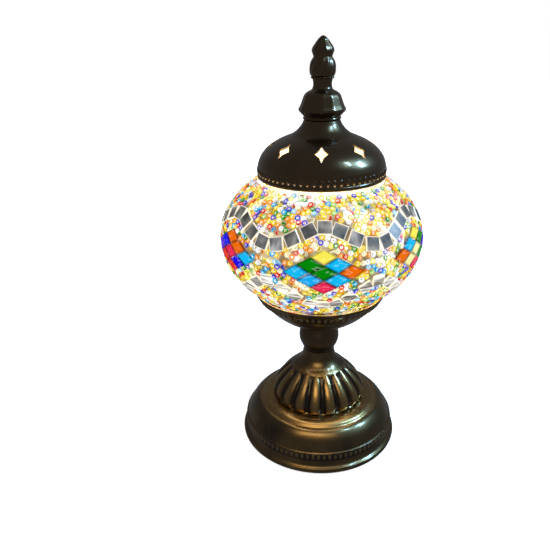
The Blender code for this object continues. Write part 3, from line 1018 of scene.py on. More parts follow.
class Tiles:
    """Collects flat tiles with eased edges into one mesh, with a colour for each."""

    def __init__(self):
        self.points, self.faces, self.tints, self.edges = [], [], [], []

    def lay(self, place, outline, thick, ease, tint):
        """A flat tile: its back, its sides, and a narrow ground edge round its face."""
        n = len(outline)
        first = len(self.points)
        for z, share, edge in ((0, 1, 1.0), (thick - ease, 1, 1.0), (thick, None, 0.75), (thick, 0.55, 0.0)):
            for x, y in outline:
                length = math.hypot(x, y)
                k = share if share else (length - ease * 1.4) / length
                self.points.append((place @ Vector((x * k, y * k, z))) * MM)
                self.tints.append(tint)
                self.edges.append(edge)
        for ring in range(3):
            for i in range(n):
                j = (i + 1) % n
                low = first + ring * n
                self.faces.append((low + i, low + j, low + n + j, low + n + i))
        self.faces.append(tuple(first + i for i in reversed(range(n))))
        self.faces.append(tuple(first + 3 * n + i for i in range(n)))

    def piece(self, name, material):
        mesh = bpy.data.meshes.new(name)
        mesh.from_pydata(self.points, [], self.faces)
        tint = mesh.attributes.new("tint", "FLOAT_COLOR", "POINT")
        tint.data.foreach_set("color", [c for t in self.tints for c in (*t, 1.0)])
        edge = mesh.attributes.new("edge", "FLOAT", "POINT")
        edge.data.foreach_set("value", self.edges)
        mesh.materials.append(material)
        obj = bpy.data.objects.new(name, mesh)
        bpy.context.scene.collection.objects.link(obj)
        return obj


def hand_cut(outline, slack, clip=0.0):
    """An outline whose corners are a little off, as the cutter leaves them."""
    corners = [(x + dice.uniform(-slack, slack), y + dice.uniform(-slack, slack)) for x, y in outline]
    line = []
    for i, here in enumerate(corners):
        here = Vector(here)
        back = (Vector(corners[i - 1]) - here).normalized()
        on = (Vector(corners[(i + 1) % len(corners)]) - here).normalized()
        line += [tuple(here + back * clip), tuple(here + on * clip)]
    return line


laid = []  # (place, half width, half height, is a lozenge) of every tile, for the grout and beads
lozenges = Tiles()
SET_OFF = ((0, 0), (-0.5, 3.0), (1, -0.5), (-1, 0.5), (0.5, 1), (2.0, 2.0))  # degrees, millimetres
for m in range(MEDALLIONS):
    middle = FIRST_MEDALLION + m * 360 / MEDALLIONS + SET_OFF[m][0]
    for i in range(3):
        for j in range(3):
            azimuth = middle + (i - j) / 3 * MEDALLION_HALF_WIDTH
            height = GLOBE_CENTRE + (1 - (i + j + 1) / 3) * MEDALLION_HALF_HEIGHT + SET_OFF[m][1]
            if m == 0:
                tint = FRONT_COLOURS[i, j]
            elif m == 1:
                tint = RIGHT_COLOURS[i, j]
            elif m == 5:
                tint = LEFT_COLOURS[i, j]
            else:
                tint = dice.choice((BLUE_GREEN, GREEN, YELLOW, ORANGE, ROSE, DEEP_BLUE, RED, LEMON))
            place = settled(azimuth, height, TILE_BED, math.radians(dice.uniform(-2, 2)))
            w, h = LOZENGE[0] - 0.12, LOZENGE[1] - 0.12
            outline = hand_cut([(w, 0), (0, h), (-w, 0), (0, -h)], 0.14, 0.18)
            lozenges.lay(place, outline, 1.15 + dice.uniform(-0.12, 0.1), 0.14, tint)
            laid.append((place, LOZENGE[0], LOZENGE[1], True))

# The coloured tiles glow by themselves, as painted light from the bulb behind them; the glow is darker at
# their ground edges.
coloured, tree, shader, place = finish("coloured tile glass", Specular_IOR_Level=0.12)
tint = put(tree, "ShaderNodeAttribute", {}, attribute_name="tint").outputs["Color"]
edge = put(tree, "ShaderNodeAttribute", {}, attribute_name="edge").outputs["Fac"]
ripple = put(
    tree, "ShaderNodeTexNoise",
    {
        "Vector": put(tree, "ShaderNodeMapping", {"Vector": place, "Scale": (1.0, 1.0, 2.6)}).outputs[0],
        "Scale": 120.0, "Detail": 2.0, "Distortion": 1.6
    }
).outputs["Fac"]
# Thin light streaks added to the glow are painted reflections of a window.
window_glint = ramp(tree, ripple, (0.56, (0, 0, 0)), (0.60, (0.24, 0.24, 0.24)), (0.66, (0, 0, 0)))
dark = put(
    tree, "ShaderNodeMapRange",
    {"Value": edge, "From Min": 0.25, "From Max": 0.85, "To Min": 1.0, "To Max": 0.20}
).outputs["Result"]
body = put(
    tree, "ShaderNodeMix", {"Factor": 1.0, "A": tint, "B": dark}, data_type="RGBA",
    blend_type="MULTIPLY"
).outputs[2]
glow = put(
    tree, "ShaderNodeMix", {"Factor": 1.0, "A": body, "B": window_glint}, data_type="RGBA", blend_type="ADD"
).outputs[2]
join(
    tree,
    put(tree, "ShaderNodeMix", {"Factor": 0.85, "A": body, "B": (0, 0, 0, 1)}, data_type="RGBA").outputs[2],
    shader.inputs["Base Color"]
)
join(tree, glow, shader.inputs["Emission Color"])
shine(tree, shader, seen=0.9, mirrored=6.0)
join(
    tree,
    put(tree, "ShaderNodeMapRange", {"Value": ripple, "To Min": 0.05, "To Max": 0.22}).outputs["Result"],
    shader.inputs["Roughness"]
)
wavy = put(tree, "ShaderNodeBump", {"Height": ripple, "Strength": 0.35, "Distance": 0.0006})
join(tree, wavy.outputs["Normal"], shader.inputs["Normal"])
tiles = lozenges.piece("coloured_lozenges", coloured)
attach(tiles, "globe")


def wave(tiles_each, crest, trough, sharpness, size):
    """Mirror squares in a wave with one crest or dip over or under each medallion."""
    for m in range(MEDALLIONS):
        for k in range(tiles_each):
            off = (k - tiles_each // 2) * 60 / tiles_each + dice.uniform(-0.5, 0.5)

            def height_at(d):
                return trough + (crest - trough) * abs(math.cos(math.radians(3 * d))) ** sharpness

            height = height_at(off)
            girth = math.radians(1) * GLOBE_RADIUS * math.cos(math.asin((height - GLOBE_CENTRE) / GLOBE_HALF))
            slope = math.atan2((height_at(off + 1) - height_at(off - 1)) / 2 * 1.12, girth)
            place = settled(
                FIRST_MEDALLION + m * 60 + off, height, TILE_BED,
                slope + math.radians(dice.uniform(-4, 4))
            )
            tilt = Matrix.Rotation(
                math.radians(dice.uniform(-2.5, 2.5)), 4, "X"
            ) @ Matrix.Rotation(math.radians(dice.uniform(-2.5, 2.5)), 4, "Y")
            w, h = size[0] / 2, size[1] / 2
            outline = hand_cut([(w, h), (-w, h), (-w, -h), (w, -h)], 0.22, 0.1)
            # Each mirror's painted reflection is lighter or darker by its own amount.
            reflection_level = dice.uniform(0.6, 1.5)
            mirrors.lay(place @ tilt, outline, 1.25, 0.22, (reflection_level, reflection_level, reflection_level * dice.uniform(0.92, 1.1)))
            laid.append((place, w, h, False))


def silvered(name, dull, glints, stretch):
    """Mirror glass with streaks that glow, in place of most of what it would mirror. Its
    ground edge glows too, as if light came round it from behind."""
    made, tree, shader, place = finish(name, Metallic=1.0)
    edge = put(tree, "ShaderNodeAttribute", {}, attribute_name="edge").outputs["Fac"]
    tint = put(tree, "ShaderNodeAttribute", {}, attribute_name="tint").outputs["Color"]
    drawn = put(tree, "ShaderNodeMapping", {"Vector": place, "Scale": stretch}).outputs[0]
    streaks = put(tree, "ShaderNodeTexNoise", {"Vector": drawn, "Scale": 110.0, "Detail": 3.0}).outputs["Fac"]
    shown = ramp(
        tree, streaks, (0.36, dull), (0.52, tuple((a + b) / 2.4 for a, b in zip(dull, glints))),
        (0.64, glints)
    )
    shown = put(
        tree, "ShaderNodeMix", {"Factor": 1.0, "A": shown, "B": tint}, data_type="RGBA",
        blend_type="MULTIPLY"
    ).outputs[2]
    rim = put(
        tree, "ShaderNodeMapRange", {"Value": edge, "From Min": 0.55, "From Max": 0.70}
    ).outputs["Result"]
    glow = put(
        tree, "ShaderNodeMix", {"Factor": rim, "A": shown, "B": (0.86, 0.80, 0.66, 1)},
        data_type="RGBA"
    ).outputs[2]
    join(tree, glow, shader.inputs["Emission Color"])
    shader.inputs["Emission Strength"].default_value = 0.9
    join(
        tree,
        ramp(
            tree, streaks, (0.32, (0.16, 0.155, 0.15)), (0.5, (0.26, 0.26, 0.255)),
            (0.7, (0.34, 0.34, 0.345))
        ),
        shader.inputs["Base Color"]
    )
    join(
        tree,
        put(
            tree, "ShaderNodeMapRange",
            {"Value": streaks, "From Min": 0.3, "From Max": 0.7, "To Min": 0.42, "To Max": 0.22}
        ).outputs["Result"],
        shader.inputs["Roughness"]
    )
    uneven = put(tree, "ShaderNodeBump", {"Height": streaks, "Strength": 0.05, "Distance": 0.001})
    join(tree, uneven.outputs["Normal"], shader.inputs["Normal"])
    return made


# The lower mirrors carry brighter painted reflections than the upper ones, as of the pale floor below.
upper_glass = silvered("silvered mirror glass", (0.035, 0.034, 0.032), (0.36, 0.36, 0.34), (1.0, 1.0, 0.6))
lower_glass = silvered("bright mirror glass", (0.10, 0.085, 0.06), (1.25, 1.2, 1.1), (0.5, 0.5, 5.0))
for name, glass, run in (
    ("upper_mirrors", upper_glass, (7, 189.8, 178.4, 2.0, (9.0, 9.0))),
    ("lower_mirrors", lower_glass, (8, 137.2, 154.4, 1.6, (8.4, 7.8))),
):
    mirrors = Tiles()
    wave(*run)
    squares = mirrors.piece(name, glass)
    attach(squares, "globe")


def clearance(spots):
    """How far each spot on the globe is from the nearest tile's edge, in millimetres."""
    far = np.full(len(spots), 99.0)
    for place, w, h, is_lozenge in laid:
        near = np.array(place.inverted())
        local = spots @ near[:3, :3].T + near[:3, 3]
        x, y = np.abs(local[:, 0]), np.abs(local[:, 1])
        if is_lozenge:
            gap = (x / w + y / h - 1) * w * h / math.hypot(w, h)
        else:
            gap = np.maximum(x - w, y - h)
        gap[np.abs(local[:, 2]) > 12] = 99.0
        far = np.minimum(far, gap)
    return far


coat_outline = globe_side(1.60, 205.0, 118.6, 110) + globe_side(2.15, 205.0, 118.6, 60)[::-1]
coat = turned("grout_coat", coat_outline, grout, 300)
# Each point's value runs from 1 at a tile's edge to 0 at 1.6 mm from it; the grout's glow is darker near the
# edge, as painted shade.
spots = np.array([v.co for v in coat.data.vertices]) / MM
thick = coat.data.attributes.new("thick", "FLOAT", "POINT")
thick.data.foreach_set("value", np.clip(1 - clearance(spots) / 1.6, 0, 1).astype(np.float32))
hand_over(coat, "globe", "mosaic_coat", "mosaic_coat")


# ==== Seed beads =======================================================================
# Some thousands of glass seed beads of mixed colours fill the rest, scattered on the
# wet grout and pressed in so that most show the hole. They glow by themselves.
BEAD_RING, BEAD_WALL, BEAD_HALF_HEIGHT = 1.20, 0.70, 0.86
BEAD_SPACING = 2.95  # between centres, so beads run into each other a little
ON_EDGE_SHARE = 0.22
LEAST_SIZE, MOST_SIZE = 0.96, 1.12
MOST_TIP = 0.26


def bead():
    """One bead: a short ring with rounded walls, lying flat."""
    around, section = 10, 5
    points, faces, holes = [], [], []
    for i in range(around):
        a = WHOLE_TURN * i / around
        for j in range(section):
            b = WHOLE_TURN * j / section + math.pi
            r = BEAD_RING + BEAD_WALL * math.cos(b)
            points.append((r * math.cos(a) * MM, r * math.sin(a) * MM, BEAD_HALF_HEIGHT * math.sin(b) * MM))
            holes.append(0.5 - 0.5 * math.cos(b))
            k = (j + 1) % section
            n = (i + 1) % around
            faces.append((i * section + j, n * section + j, n * section + k, i * section + k))
    mesh = bpy.data.meshes.new("bead")
    mesh.from_pydata(points, [], faces)
    hole = mesh.attributes.new("hole", "FLOAT", "POINT")
    hole.data.foreach_set("value", holes)
    mesh.shade_smooth()
    return bpy.data.objects.new("bead", mesh)


def bead_tree():
    """Scatters beads on a bed, their centres a spacing apart, each tipped its own way."""
    tree = bpy.data.node_groups.new("scatter beads", "GeometryNodeTree")
    face = tree.interface
    face.new_socket("Geometry", in_out="INPUT", socket_type="NodeSocketGeometry")
    face.new_socket("Bead", in_out="INPUT", socket_type="NodeSocketObject")
    face.new_socket("Spacing", in_out="INPUT", socket_type="NodeSocketFloat")
    face.new_socket("Crowding", in_out="INPUT", socket_type="NodeSocketFloat")
    face.new_socket("Seed", in_out="INPUT", socket_type="NodeSocketInt")
    face.new_socket("Finish", in_out="INPUT", socket_type="NodeSocketMaterial")
    face.new_socket("Geometry", in_out="OUTPUT", socket_type="NodeSocketGeometry")
    given = put(tree, "NodeGroupInput").outputs
    open_ground = put(tree, "GeometryNodeInputNamedAttribute", {"Name": "open"}, data_type="FLOAT").outputs[0]
    keep = put(
        tree, "FunctionNodeCompare", {"A": open_ground, "B": 0.5}, data_type="FLOAT",
        operation="GREATER_THAN"
    ).outputs[0]
    ground = put(
        tree, "GeometryNodeSeparateGeometry", {"Geometry": given["Geometry"], "Selection": keep},
        domain="FACE"
    ).outputs[0]
    scatter = put(
        tree,
        "GeometryNodeDistributePointsOnFaces",
        {"Mesh": ground, "Distance Min": given["Spacing"], "Density Max": given["Crowding"],
         "Seed": given["Seed"]},
        distribute_method="POISSON",
    )
    tip = put(tree, "FunctionNodeRandomValue", {"Seed": 3}, data_type="FLOAT_VECTOR")
    tip.inputs["Min"].default_value = (-MOST_TIP, -MOST_TIP, -3.1)
    tip.inputs["Max"].default_value = (MOST_TIP, MOST_TIP, 3.1)
    stand = put(tree, "FunctionNodeRandomValue", {"Seed": 11}, data_type="BOOLEAN")
    stand.inputs["Probability"].default_value = ON_EDGE_SHARE
    on_edge = stand.outputs["Value"]
    upright = put(tree, "ShaderNodeCombineXYZ", {"X": math.radians(74)}).outputs[0]
    turned_up = put(
        tree, "GeometryNodeSwitch",
        {"Switch": on_edge, "False": (0, 0, 0), "True": upright},
        input_type="VECTOR"
    ).outputs[0]
    roll = put(
        tree, "FunctionNodeRotateRotation",
        {"Rotation": scatter.outputs["Rotation"], "Rotate By": tip.outputs[0]}, rotation_space="LOCAL"
    ).outputs[0]
    pose = put(
        tree, "FunctionNodeRotateRotation", {"Rotation": roll, "Rotate By": turned_up},
        rotation_space="LOCAL"
    ).outputs[0]
    size = put(tree, "FunctionNodeRandomValue", {"Seed": 5}, data_type="FLOAT").outputs[1]
    size.node.inputs["Min"].default_value = LEAST_SIZE
    size.node.inputs["Max"].default_value = MOST_SIZE
    bead_mesh = put(tree, "GeometryNodeObjectInfo", {"Object": given["Bead"]}).outputs["Geometry"]
    depth = put(
        tree, "GeometryNodeSwitch", {"Switch": on_edge, "False": 0.0, "True": -BEAD_HALF_HEIGHT * MM},
        input_type="FLOAT"
    ).outputs[0]
    inwards = put(
        tree, "ShaderNodeVectorMath", {0: scatter.outputs["Normal"], "Scale": depth},
        operation="SCALE"
    ).outputs["Vector"]
    pressed = put(
        tree, "GeometryNodeSetPosition", {"Geometry": scatter.outputs["Points"], "Offset": inwards}
    ).outputs[0]
    copies = put(
        tree, "GeometryNodeInstanceOnPoints",
        {"Points": pressed, "Instance": bead_mesh, "Rotation": pose, "Scale": size}
    ).outputs[0]
    pick = put(tree, "FunctionNodeRandomValue", {"Seed": 8}, data_type="FLOAT").outputs[1]
    marked = put(
        tree, "GeometryNodeStoreNamedAttribute", {"Geometry": copies, "Name": "pick", "Value": pick},
        data_type="FLOAT", domain="INSTANCE"
    ).outputs[0]
    real = put(tree, "GeometryNodeRealizeInstances", {"Geometry": marked}).outputs[0]
    coated = put(tree, "GeometryNodeSetMaterial", {"Geometry": real, "Material": given["Finish"]}).outputs[0]
    put(tree, "NodeGroupOutput", {"Geometry": coated})
    return tree


beads, tree, shader, place = finish("glass seed beads", Coat_Weight=0.3, Coat_Roughness=0.10, Roughness=0.25)
pick = put(tree, "ShaderNodeAttribute", {}, attribute_name="pick").outputs["Fac"]
hole = put(tree, "ShaderNodeAttribute", {}, attribute_name="hole").outputs["Fac"]
BEAD_SHARES = (
    (0.00, (0.95, 0.62, 0.005)), (0.17, (0.95, 0.78, 0.07)), (0.33, (0.98, 0.90, 0.55)),
    (0.42, (0.92, 0.93, 0.95)), (0.53, (0.92, 0.26, 0.0)), (0.65, (0.78, 0.02, 0.005)),
    (0.73, (0.01, 0.28, 0.02)), (0.79, (0.01, 0.42, 0.80)), (0.86, (0.02, 0.04, 0.60)),
    (0.91, (0.12, 0.06, 0.60)), (0.94, (0.35, 0.62, 0.12)), (0.97, (0.30, 0.62, 0.92)),
)
tint = ramp(tree, pick, *BEAD_SHARES, interpolation="CONSTANT")
# The glow is painted light from the bulb behind: dim on a bead's outer wall, bright in its hole, and uneven
# in fine speckles.
across = ramp(tree, hole, (0.0, (0.34, 0.34, 0.34)), (0.35, (0.95, 0.95, 0.95)), (0.8, (1.05, 1.05, 1.05)))
glow_speckle = put(tree, "ShaderNodeTexNoise", {"Vector": place, "Scale": 900.0, "Detail": 1.0}).outputs["Fac"]
uneven_light = put(
    tree, "ShaderNodeMapRange",
    {"Value": glow_speckle, "From Min": 0.3, "From Max": 0.7, "To Min": 0.72, "To Max": 1.15}
).outputs["Result"]
light = put(
    tree, "ShaderNodeMix", {"Factor": 1.0, "A": across, "B": uneven_light}, data_type="RGBA",
    blend_type="MULTIPLY"
).outputs[2]
glow = put(
    tree, "ShaderNodeMix", {"Factor": 1.0, "A": tint, "B": light}, data_type="RGBA",
    blend_type="MULTIPLY"
).outputs[2]
hot = put(tree, "ShaderNodeGroup", {"Place": place}, node_tree=BACKLIGHT).outputs["Hot"]
through = put(
    tree, "ShaderNodeMapRange", {"Value": hole, "From Min": 0.68, "From Max": 1.0, "To Max": 0.75}
).outputs["Result"]
white = put(
    tree, "ShaderNodeMath", {0: hot, 1: 0.15, 2: through}, operation="MULTIPLY_ADD", use_clamp=True
).outputs[0]
glow = put(
    tree, "ShaderNodeMix", {"Factor": white, "A": glow, "B": (1.1, 1.05, 0.92, 1)}, data_type="RGBA"
).outputs[2]
body = put(tree, "ShaderNodeMix", {"Factor": 0.8, "A": tint, "B": (0, 0, 0, 1)}, data_type="RGBA").outputs[2]
join(tree, body, shader.inputs["Base Color"])
join(tree, glow, shader.inputs["Emission Color"])
shine(tree, shader, seen=0.95, mirrored=8.0)

seed_bead = bead()
BEAD_TREE = bead_tree()
BEAD_TREE_INPUTS = dict(Bead=seed_bead, Spacing=BEAD_SPACING * MM, Crowding=2.4e6, Finish=beads)
for name, top, bottom, seed in (("upper_beads", 204.0, 170.0, 4), ("lower_beads", 170.0, 120.4, 9)):
    bed = turned("bed", globe_side(1.42, top, bottom, 60), grout, 360)
    strip = bed.data
    bpy.data.objects.remove(bed)
    spots = np.array([v.co for v in strip.vertices]) / MM
    edge_room = np.minimum(top - spots[:, 2], spots[:, 2] - bottom)
    free = (clearance(spots) > 0.95) & (edge_room > 0.75)
    ground = strip.attributes.new("open", "FLOAT", "POINT")
    ground.data.foreach_set("value", free.astype(np.float32))
    scattered = grown(name, strip, BEAD_TREE, Seed=seed, **BEAD_TREE_INPUTS)
    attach(scattered, "globe")
bpy.data.objects.remove(seed_bead)


# ==== Domed cap ========================================================================
# Spun brass, blackened and lacquered, with eight long stars pierced round its shoulder
# and a row of rolled ribs over its plain lip. It drops over the globe's upper lip, and
# its bare inside glows by itself, which lights the stars.
DOME_OUTSIDE = (
    [(3.4, 243), (11.4, 243)]
    + flow([(11.9, 242.8), (12.3, 241.8), (13.3, 239.8), (16.0, 236.4), (20, 233.4), (24.5, 231.5),
            (30.5, 228.7), (36.8, 224.3), (40.7, 219.5), (42.5, 215.2), (42.8, 213.4)])
    + [(42.8, 208.2), (43.2, 207.8), (43.3, 207.2), (43.3, 205.9), (43.0, 205.4)]
)
DOME_INSIDE = [(42.3, 205.4), (41.8, 206.4), (41.8, 213.4)] + flow(
    [
        (41.4, 215.4), (39.8, 218.9), (36.1, 223.5), (30.0, 227.7), (24.2, 230.5), (19.4, 232.5),
        (15.2, 235.7), (12.4, 239.4)
    ]
) + [(11.2, 242), (3.4, 242)]
DOME_STEPS = 168  # points round the dome
dome_outline = eased(DOME_OUTSIDE + DOME_INSIDE, 0.25)
dome = turned("domed_cap", dome_outline, bronze, DOME_STEPS)
first_inside = next(i for i, (r, z) in enumerate(dome_outline) if r < 42 and z < 208)
lit_brass, tree, shader, place = finish("bare inside of the cap", Metallic=0.6)
with_grime(tree, shader, place, (0.80, 0.62, 0.34), (0.50, 0.36, 0.18), cloud=60, smooth=0.35, rough=0.5)
patch = put(tree, "ShaderNodeTexNoise", {"Vector": place, "Scale": 30.0}).outputs["Fac"]
join(
    tree, ramp(tree, patch, (0.3, (0.96, 0.80, 0.55)), (0.7, (1.0, 0.93, 0.80))),
    shader.inputs["Emission Color"]
)
shader.inputs["Emission Strength"].default_value = 1.05
dome.data.materials.append(lit_brass)
for face in dome.data.polygons:
    face.material_index = int(face.index // DOME_STEPS >= first_inside)
STARS = 8
stars = bmesh.new()
HALF_STAR = [(6.5, -0.42), (6.5, 0.42), (3.4, 1.15), (0, 4.3), (-3.4, 1.15)]
star = HALF_STAR + [(-x, -y) for x, y in HALF_STAR]
for i in range(STARS):
    round_dome = Matrix.Rotation(WHOLE_TURN * i / STARS, 4, "Z")
    on_shoulder = Matrix.Translation((33 * MM, 0, 226.6 * MM)) @ Matrix.Rotation(math.radians(34), 4, "Y")
    lay = round_dome @ on_shoulder
    rings = [[stars.verts.new(lay @ Vector((x * MM, y * MM, z * MM))) for x, y in star] for z in (4, -4)]
    count = len(star)
    stars.faces.new(rings[0])
    stars.faces.new(rings[1][::-1])
    for a in range(count):
        b = (a + 1) % count
        stars.faces.new((rings[0][b], rings[0][a], rings[1][a], rings[1][b]))
bmesh.ops.recalc_face_normals(stars, faces=stars.faces)
punch_mesh = bpy.data.meshes.new("punch")
stars.to_mesh(punch_mesh)
stars.free()
punch = bpy.data.objects.new("punch", punch_mesh)
bpy.context.scene.collection.objects.link(punch)
pierce = dome.modifiers.new("pierce", "BOOLEAN")
pierce.object, pierce.solver, pierce.operation = punch, "EXACT", "DIFFERENCE"
state = bpy.context.evaluated_depsgraph_get()
pierced = bpy.data.meshes.new_from_object(dome.evaluated_get(state), depsgraph=state)
dome.modifiers.clear()
dome.data = pierced
bpy.data.objects.remove(punch)
pierced.set_sharp_from_angle(angle=math.radians(40))
dome_ribs = grown("dome_ribs", rib(4.9, 1.9, 1.05), RING, Count=64, Ring_Radius=42.75 * MM,
                  Height=210.7 * MM, Lean=0.0, Finish=bronze)
for face in dome_ribs.data.polygons:
    face.material_index = 0
hand_over(weld("domed_cap", dome, dome_ribs), "cap", "antique_bronze", "dome_cap")


# ==== Cap rod, washer and nut ==========================================================
# A threaded steel rod screwed into the finial comes down through the crown and the
# dome. A washer and a nut inside the dome hold the three together.
washer("cap_washer", "cap", "cap_washer", 3.35, 8, 240.3, 241.7)
hexagon_nut("cap_nut", "cap", "cap_nut", 10, 3.35, 235.5, 240.0)
rod_thread = threaded(1.0, 0.28, 234.2, 265.8)
cap_rod = turned("cap_rod", [(0, 266)] + ladder(3.0, 234, 266, 0.25) + [(0, 234)], zinc, 32,
                 lambda r, z, a: rod_thread(r, z, a) if r > 2.9 else r)
hand_over(cap_rod, "cap", "zinc_plated_steel", "cap_rod")


# ==== Crown bell =======================================================================
# A cast brass bell with twelve flat sides, drawn in to a small neck above and a foot
# below. It stands on the dome's flat top.
FACETS = 12
FLATS_LOW, FLATS_HIGH = 244.2, 260.2


def twelve_sided(radius, height, angle):
    """Flat sides between the shoulders, round in the bore, the neck and the foot."""
    if radius < 7 or not FLATS_LOW < height < FLATS_HIGH:
        return radius
    side = WHOLE_TURN / FACETS
    off = angle % side - side / 2
    flat = radius * math.cos(side / 2) / math.cos(off)
    round_off = radius * 0.992
    near = min(1.0, (height - FLATS_LOW) / 1.5, (FLATS_HIGH - height) / 1.2)
    return radius + (min(flat, round_off) - radius) * near


crown = turned(
    "crown_bell",
    [(6.9, 261.6)]
    + flow([(7.6, 261.0), (9.2, 260.3), (10.9, 259.2), (12.0, 257.8), (13.1, 255.0), (14.4, 251.6),
            (15.5, 249.6), (15.3, 248.2), (13.9, 246.7), (12.6, 245.4), (12.1, 244.6)], 4)
    + [(12.2, 244.2), (12.6, 244.0), (12.6, 243.6), (12.3, 243.4), (3.4, 243.4), (3.4, 261.6)],
    bronze, 144, twelve_sided, 16)
hand_over(crown, "cap", "antique_bronze", "crown_bell")


# ==== Finial ===========================================================================
# Cast brass: a plain waist, a ring of small beads, a bulb with twisted flutes, and a
# bud with upright ribs. It is screwed down on the rod.
BULB_LOW, BULB_HIGH = 269.6, 281.4
BUD_LOW, BUD_HIGH = 282.6, 292.2


def twisted(radius, height, angle):
    """Twisted flutes on the bulb and upright ones on the bud."""
    if radius < 3.4:
        return radius
    if BULB_LOW < height < BULB_HIGH:
        fade = math.sin(math.pi * (height - BULB_LOW) / (BULB_HIGH - BULB_LOW)) ** 0.6
        return radius - 0.55 * fade * abs(math.sin(6 * angle - (height - BULB_LOW) * 0.32))
    if BUD_LOW < height < BUD_HIGH:
        fade = math.sin(math.pi * (height - BUD_LOW) / (BUD_HIGH - BUD_LOW)) ** 0.6
        return radius - 0.45 * fade * abs(math.sin(5 * angle))
    return radius


finial = turned(
    "finial",
    [(0, 293.3)] + flow(
        [
            (0.9, 293.1), (2.0, 292.3), (3.3, 291), (4.7, 289.2), (6.5, 286.6), (7.1, 284.6),
            (6.6, 282.9), (6.1, 281.6)
        ],
        6
    )
    + flow(
        [(6.0, 281.0), (6.5, 280.2), (7.7, 278.2), (8.5, 275.4), (8.5, 272.6), (7.9, 270.4), (7.2, 269.6)],
        7
    )
    + flow([(6.6, 269.2), (6.5, 268.2), (6.3, 267.3), (6.0, 265), (6.15, 263.2), (6.5, 262.3)])
    + [(6.6, 261.9), (3.4, 261.9), (3.4, 266.4), (0, 266.4)],
    bronze, 120, twisted, 50)


def bauble(radius):
    """A small round bead of the finial's ring."""
    ball_shape = bmesh.new()
    bmesh.ops.create_icosphere(ball_shape, subdivisions=2, radius=radius * MM)
    mesh = bpy.data.meshes.new("bauble")
    ball_shape.to_mesh(mesh)
    ball_shape.free()
    mesh.shade_smooth()
    return mesh


ring_of_beads = grown("finial_beads", bauble(0.85), RING, Count=22, Ring_Radius=6.7 * MM,
                      Height=268.8 * MM, Lean=0.0, Finish=bronze)
hand_over(weld("finial", finial, ring_of_beads), "cap", "antique_bronze", "finial")


# ==== Table, light and camera ==========================================================
# A plain pale floor under an even pale studio, with two cool lights on the right, a fill
# on the left and a ceiling. A small warm light low in front makes the gold highlights.
# Polished metal doesn't mirror the floor, the fill or the ceiling.
floor_paint, tree, shader, place = finish("pale floor", Roughness=0.6, Specular_IOR_Level=0.15)
mottle = put(tree, "ShaderNodeTexNoise", {"Vector": place, "Scale": 3.0}).outputs["Fac"]
join(
    tree, ramp(tree, mottle, (0.3, (0.90, 0.89, 0.88)), (0.7, (0.92, 0.91, 0.90))),
    shader.inputs["Base Color"]
)
FLOOR_HALF, FLOOR_DROP = 3.0, 0.0002  # metres; the floor lies just under the pad
floor_seen = put(tree, "ShaderNodeLightPath").outputs["Is Camera Ray"]
from_lamp = put(tree, "ShaderNodeVectorMath", {0: place}, operation="LENGTH").outputs["Value"]
paling = put(
    tree, "ShaderNodeMapRange",
    {"Value": from_lamp, "From Min": 0.12, "From Max": 0.6, "To Min": 0.72, "To Max": 1.0}
).outputs["Result"]
paling = put(tree, "ShaderNodeMath", {0: paling, 1: floor_seen}, operation="MULTIPLY").outputs[0]
shader.inputs["Emission Color"].default_value = (1, 1, 1, 1)
join(tree, paling, shader.inputs["Emission Strength"])
floor_mesh = bpy.data.meshes.new("floor")
corners = ((-1, -1), (1, -1), (1, 1), (-1, 1))
floor_points = [(x * FLOOR_HALF, y * FLOOR_HALF, -FLOOR_DROP) for x, y in corners]
floor_mesh.from_pydata(floor_points, [], [(0, 1, 2, 3)])
floor_mesh.materials.append(floor_paint)
floor = bpy.data.objects.new("floor", floor_mesh)
bpy.context.scene.collection.objects.link(floor)
floor.visible_glossy = False

scene = bpy.context.scene
scene.view_settings.view_transform = "Standard"
scene.view_settings.look = "None"
world = bpy.data.worlds.new("studio")
scene.world = world
world.use_nodes = True
tree = world.node_tree
seen = put(tree, "ShaderNodeLightPath").outputs["Is Camera Ray"]
pale = tree.nodes["Background"]
strength = put(tree, "ShaderNodeMapRange", {"Value": seen, "To Min": 0.12, "To Max": 1.0}).outputs["Result"]
pale.inputs["Color"].default_value = (1, 1, 1, 1)
join(tree, strength, pale.inputs["Strength"])


LAMP_MIDDLE = Vector((0, 0, 0.15))


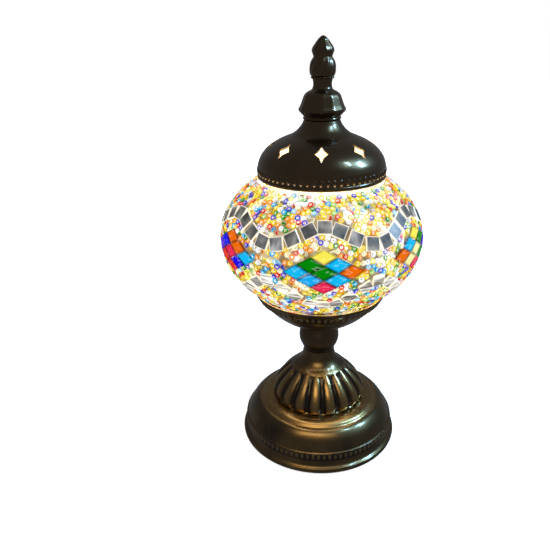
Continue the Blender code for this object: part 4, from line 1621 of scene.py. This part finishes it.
def soft_light(
    name, azimuth, elevation, distance, size, colour, watts, mirrored=True, aim=LAMP_MIDDLE,
    spread=180
):
    """An area light round the middle of the lamp, turned towards its aim."""
    data = bpy.data.lights.new(name, "AREA")
    data.shape, data.size, data.size_y = "RECTANGLE", *size
    data.color, data.energy, data.spread = colour, watts, math.radians(spread)
    light = bpy.data.objects.new(name, data)
    a, e = math.radians(azimuth), math.radians(elevation)
    away = Vector((math.sin(a) * math.cos(e), -math.cos(a) * math.cos(e), math.sin(e)))
    light.location = LAMP_MIDDLE + away * distance
    light.rotation_euler = (Vector(aim) - light.location).to_track_quat("-Z", "Y").to_euler()
    light.visible_camera = False
    light.visible_glossy = mirrored
    scene.collection.objects.link(light)


soft_light("window", 88, 38, 1.3, (0.22, 0.34), (0.24, 0.56, 1.0), 15)
soft_light("far window", 68, 52, 1.6, (0.10, 0.30), (0.32, 0.64, 1.0), 6)
soft_light("left fill", -55, 30, 1.6, (0.5, 0.5), (1.0, 0.97, 0.92), 4, False)
soft_light("ceiling", 0, 88, 1.7, (1.2, 1.2), (1.0, 1.0, 1.0), 14, False)
soft_light(
    "glow on the foot", -4, -3, 0.125, (0.20, 0.045), (1.0, 0.76, 0.38), 0.012,
    aim=(0, -0.032, 0.027), spread=60
)

CAMERA_AT = Vector((0, -0.3846, 0.3008))
YAW, PITCH, ROLL = -0.085, math.radians(23.7), -0.020
ahead = Vector((math.sin(YAW) * math.cos(PITCH), math.cos(YAW) * math.cos(PITCH), -math.sin(PITCH)))
level = Vector((math.cos(YAW), -math.sin(YAW), 0))
above = level.cross(ahead)
right = level * math.cos(ROLL) + above * math.sin(ROLL)
up = above * math.cos(ROLL) - level * math.sin(ROLL)
camera_data = bpy.data.cameras.new("camera")
camera_data.sensor_width = 36
camera_data.lens = 37.6
camera_data.clip_start = 0.01
camera = bpy.data.objects.new("camera", camera_data)
placing = Matrix((right, up, -ahead)).transposed().to_4x4()
placing.translation = CAMERA_AT
camera.matrix_world = placing
scene.collection.objects.link(camera)
scene.camera = camera
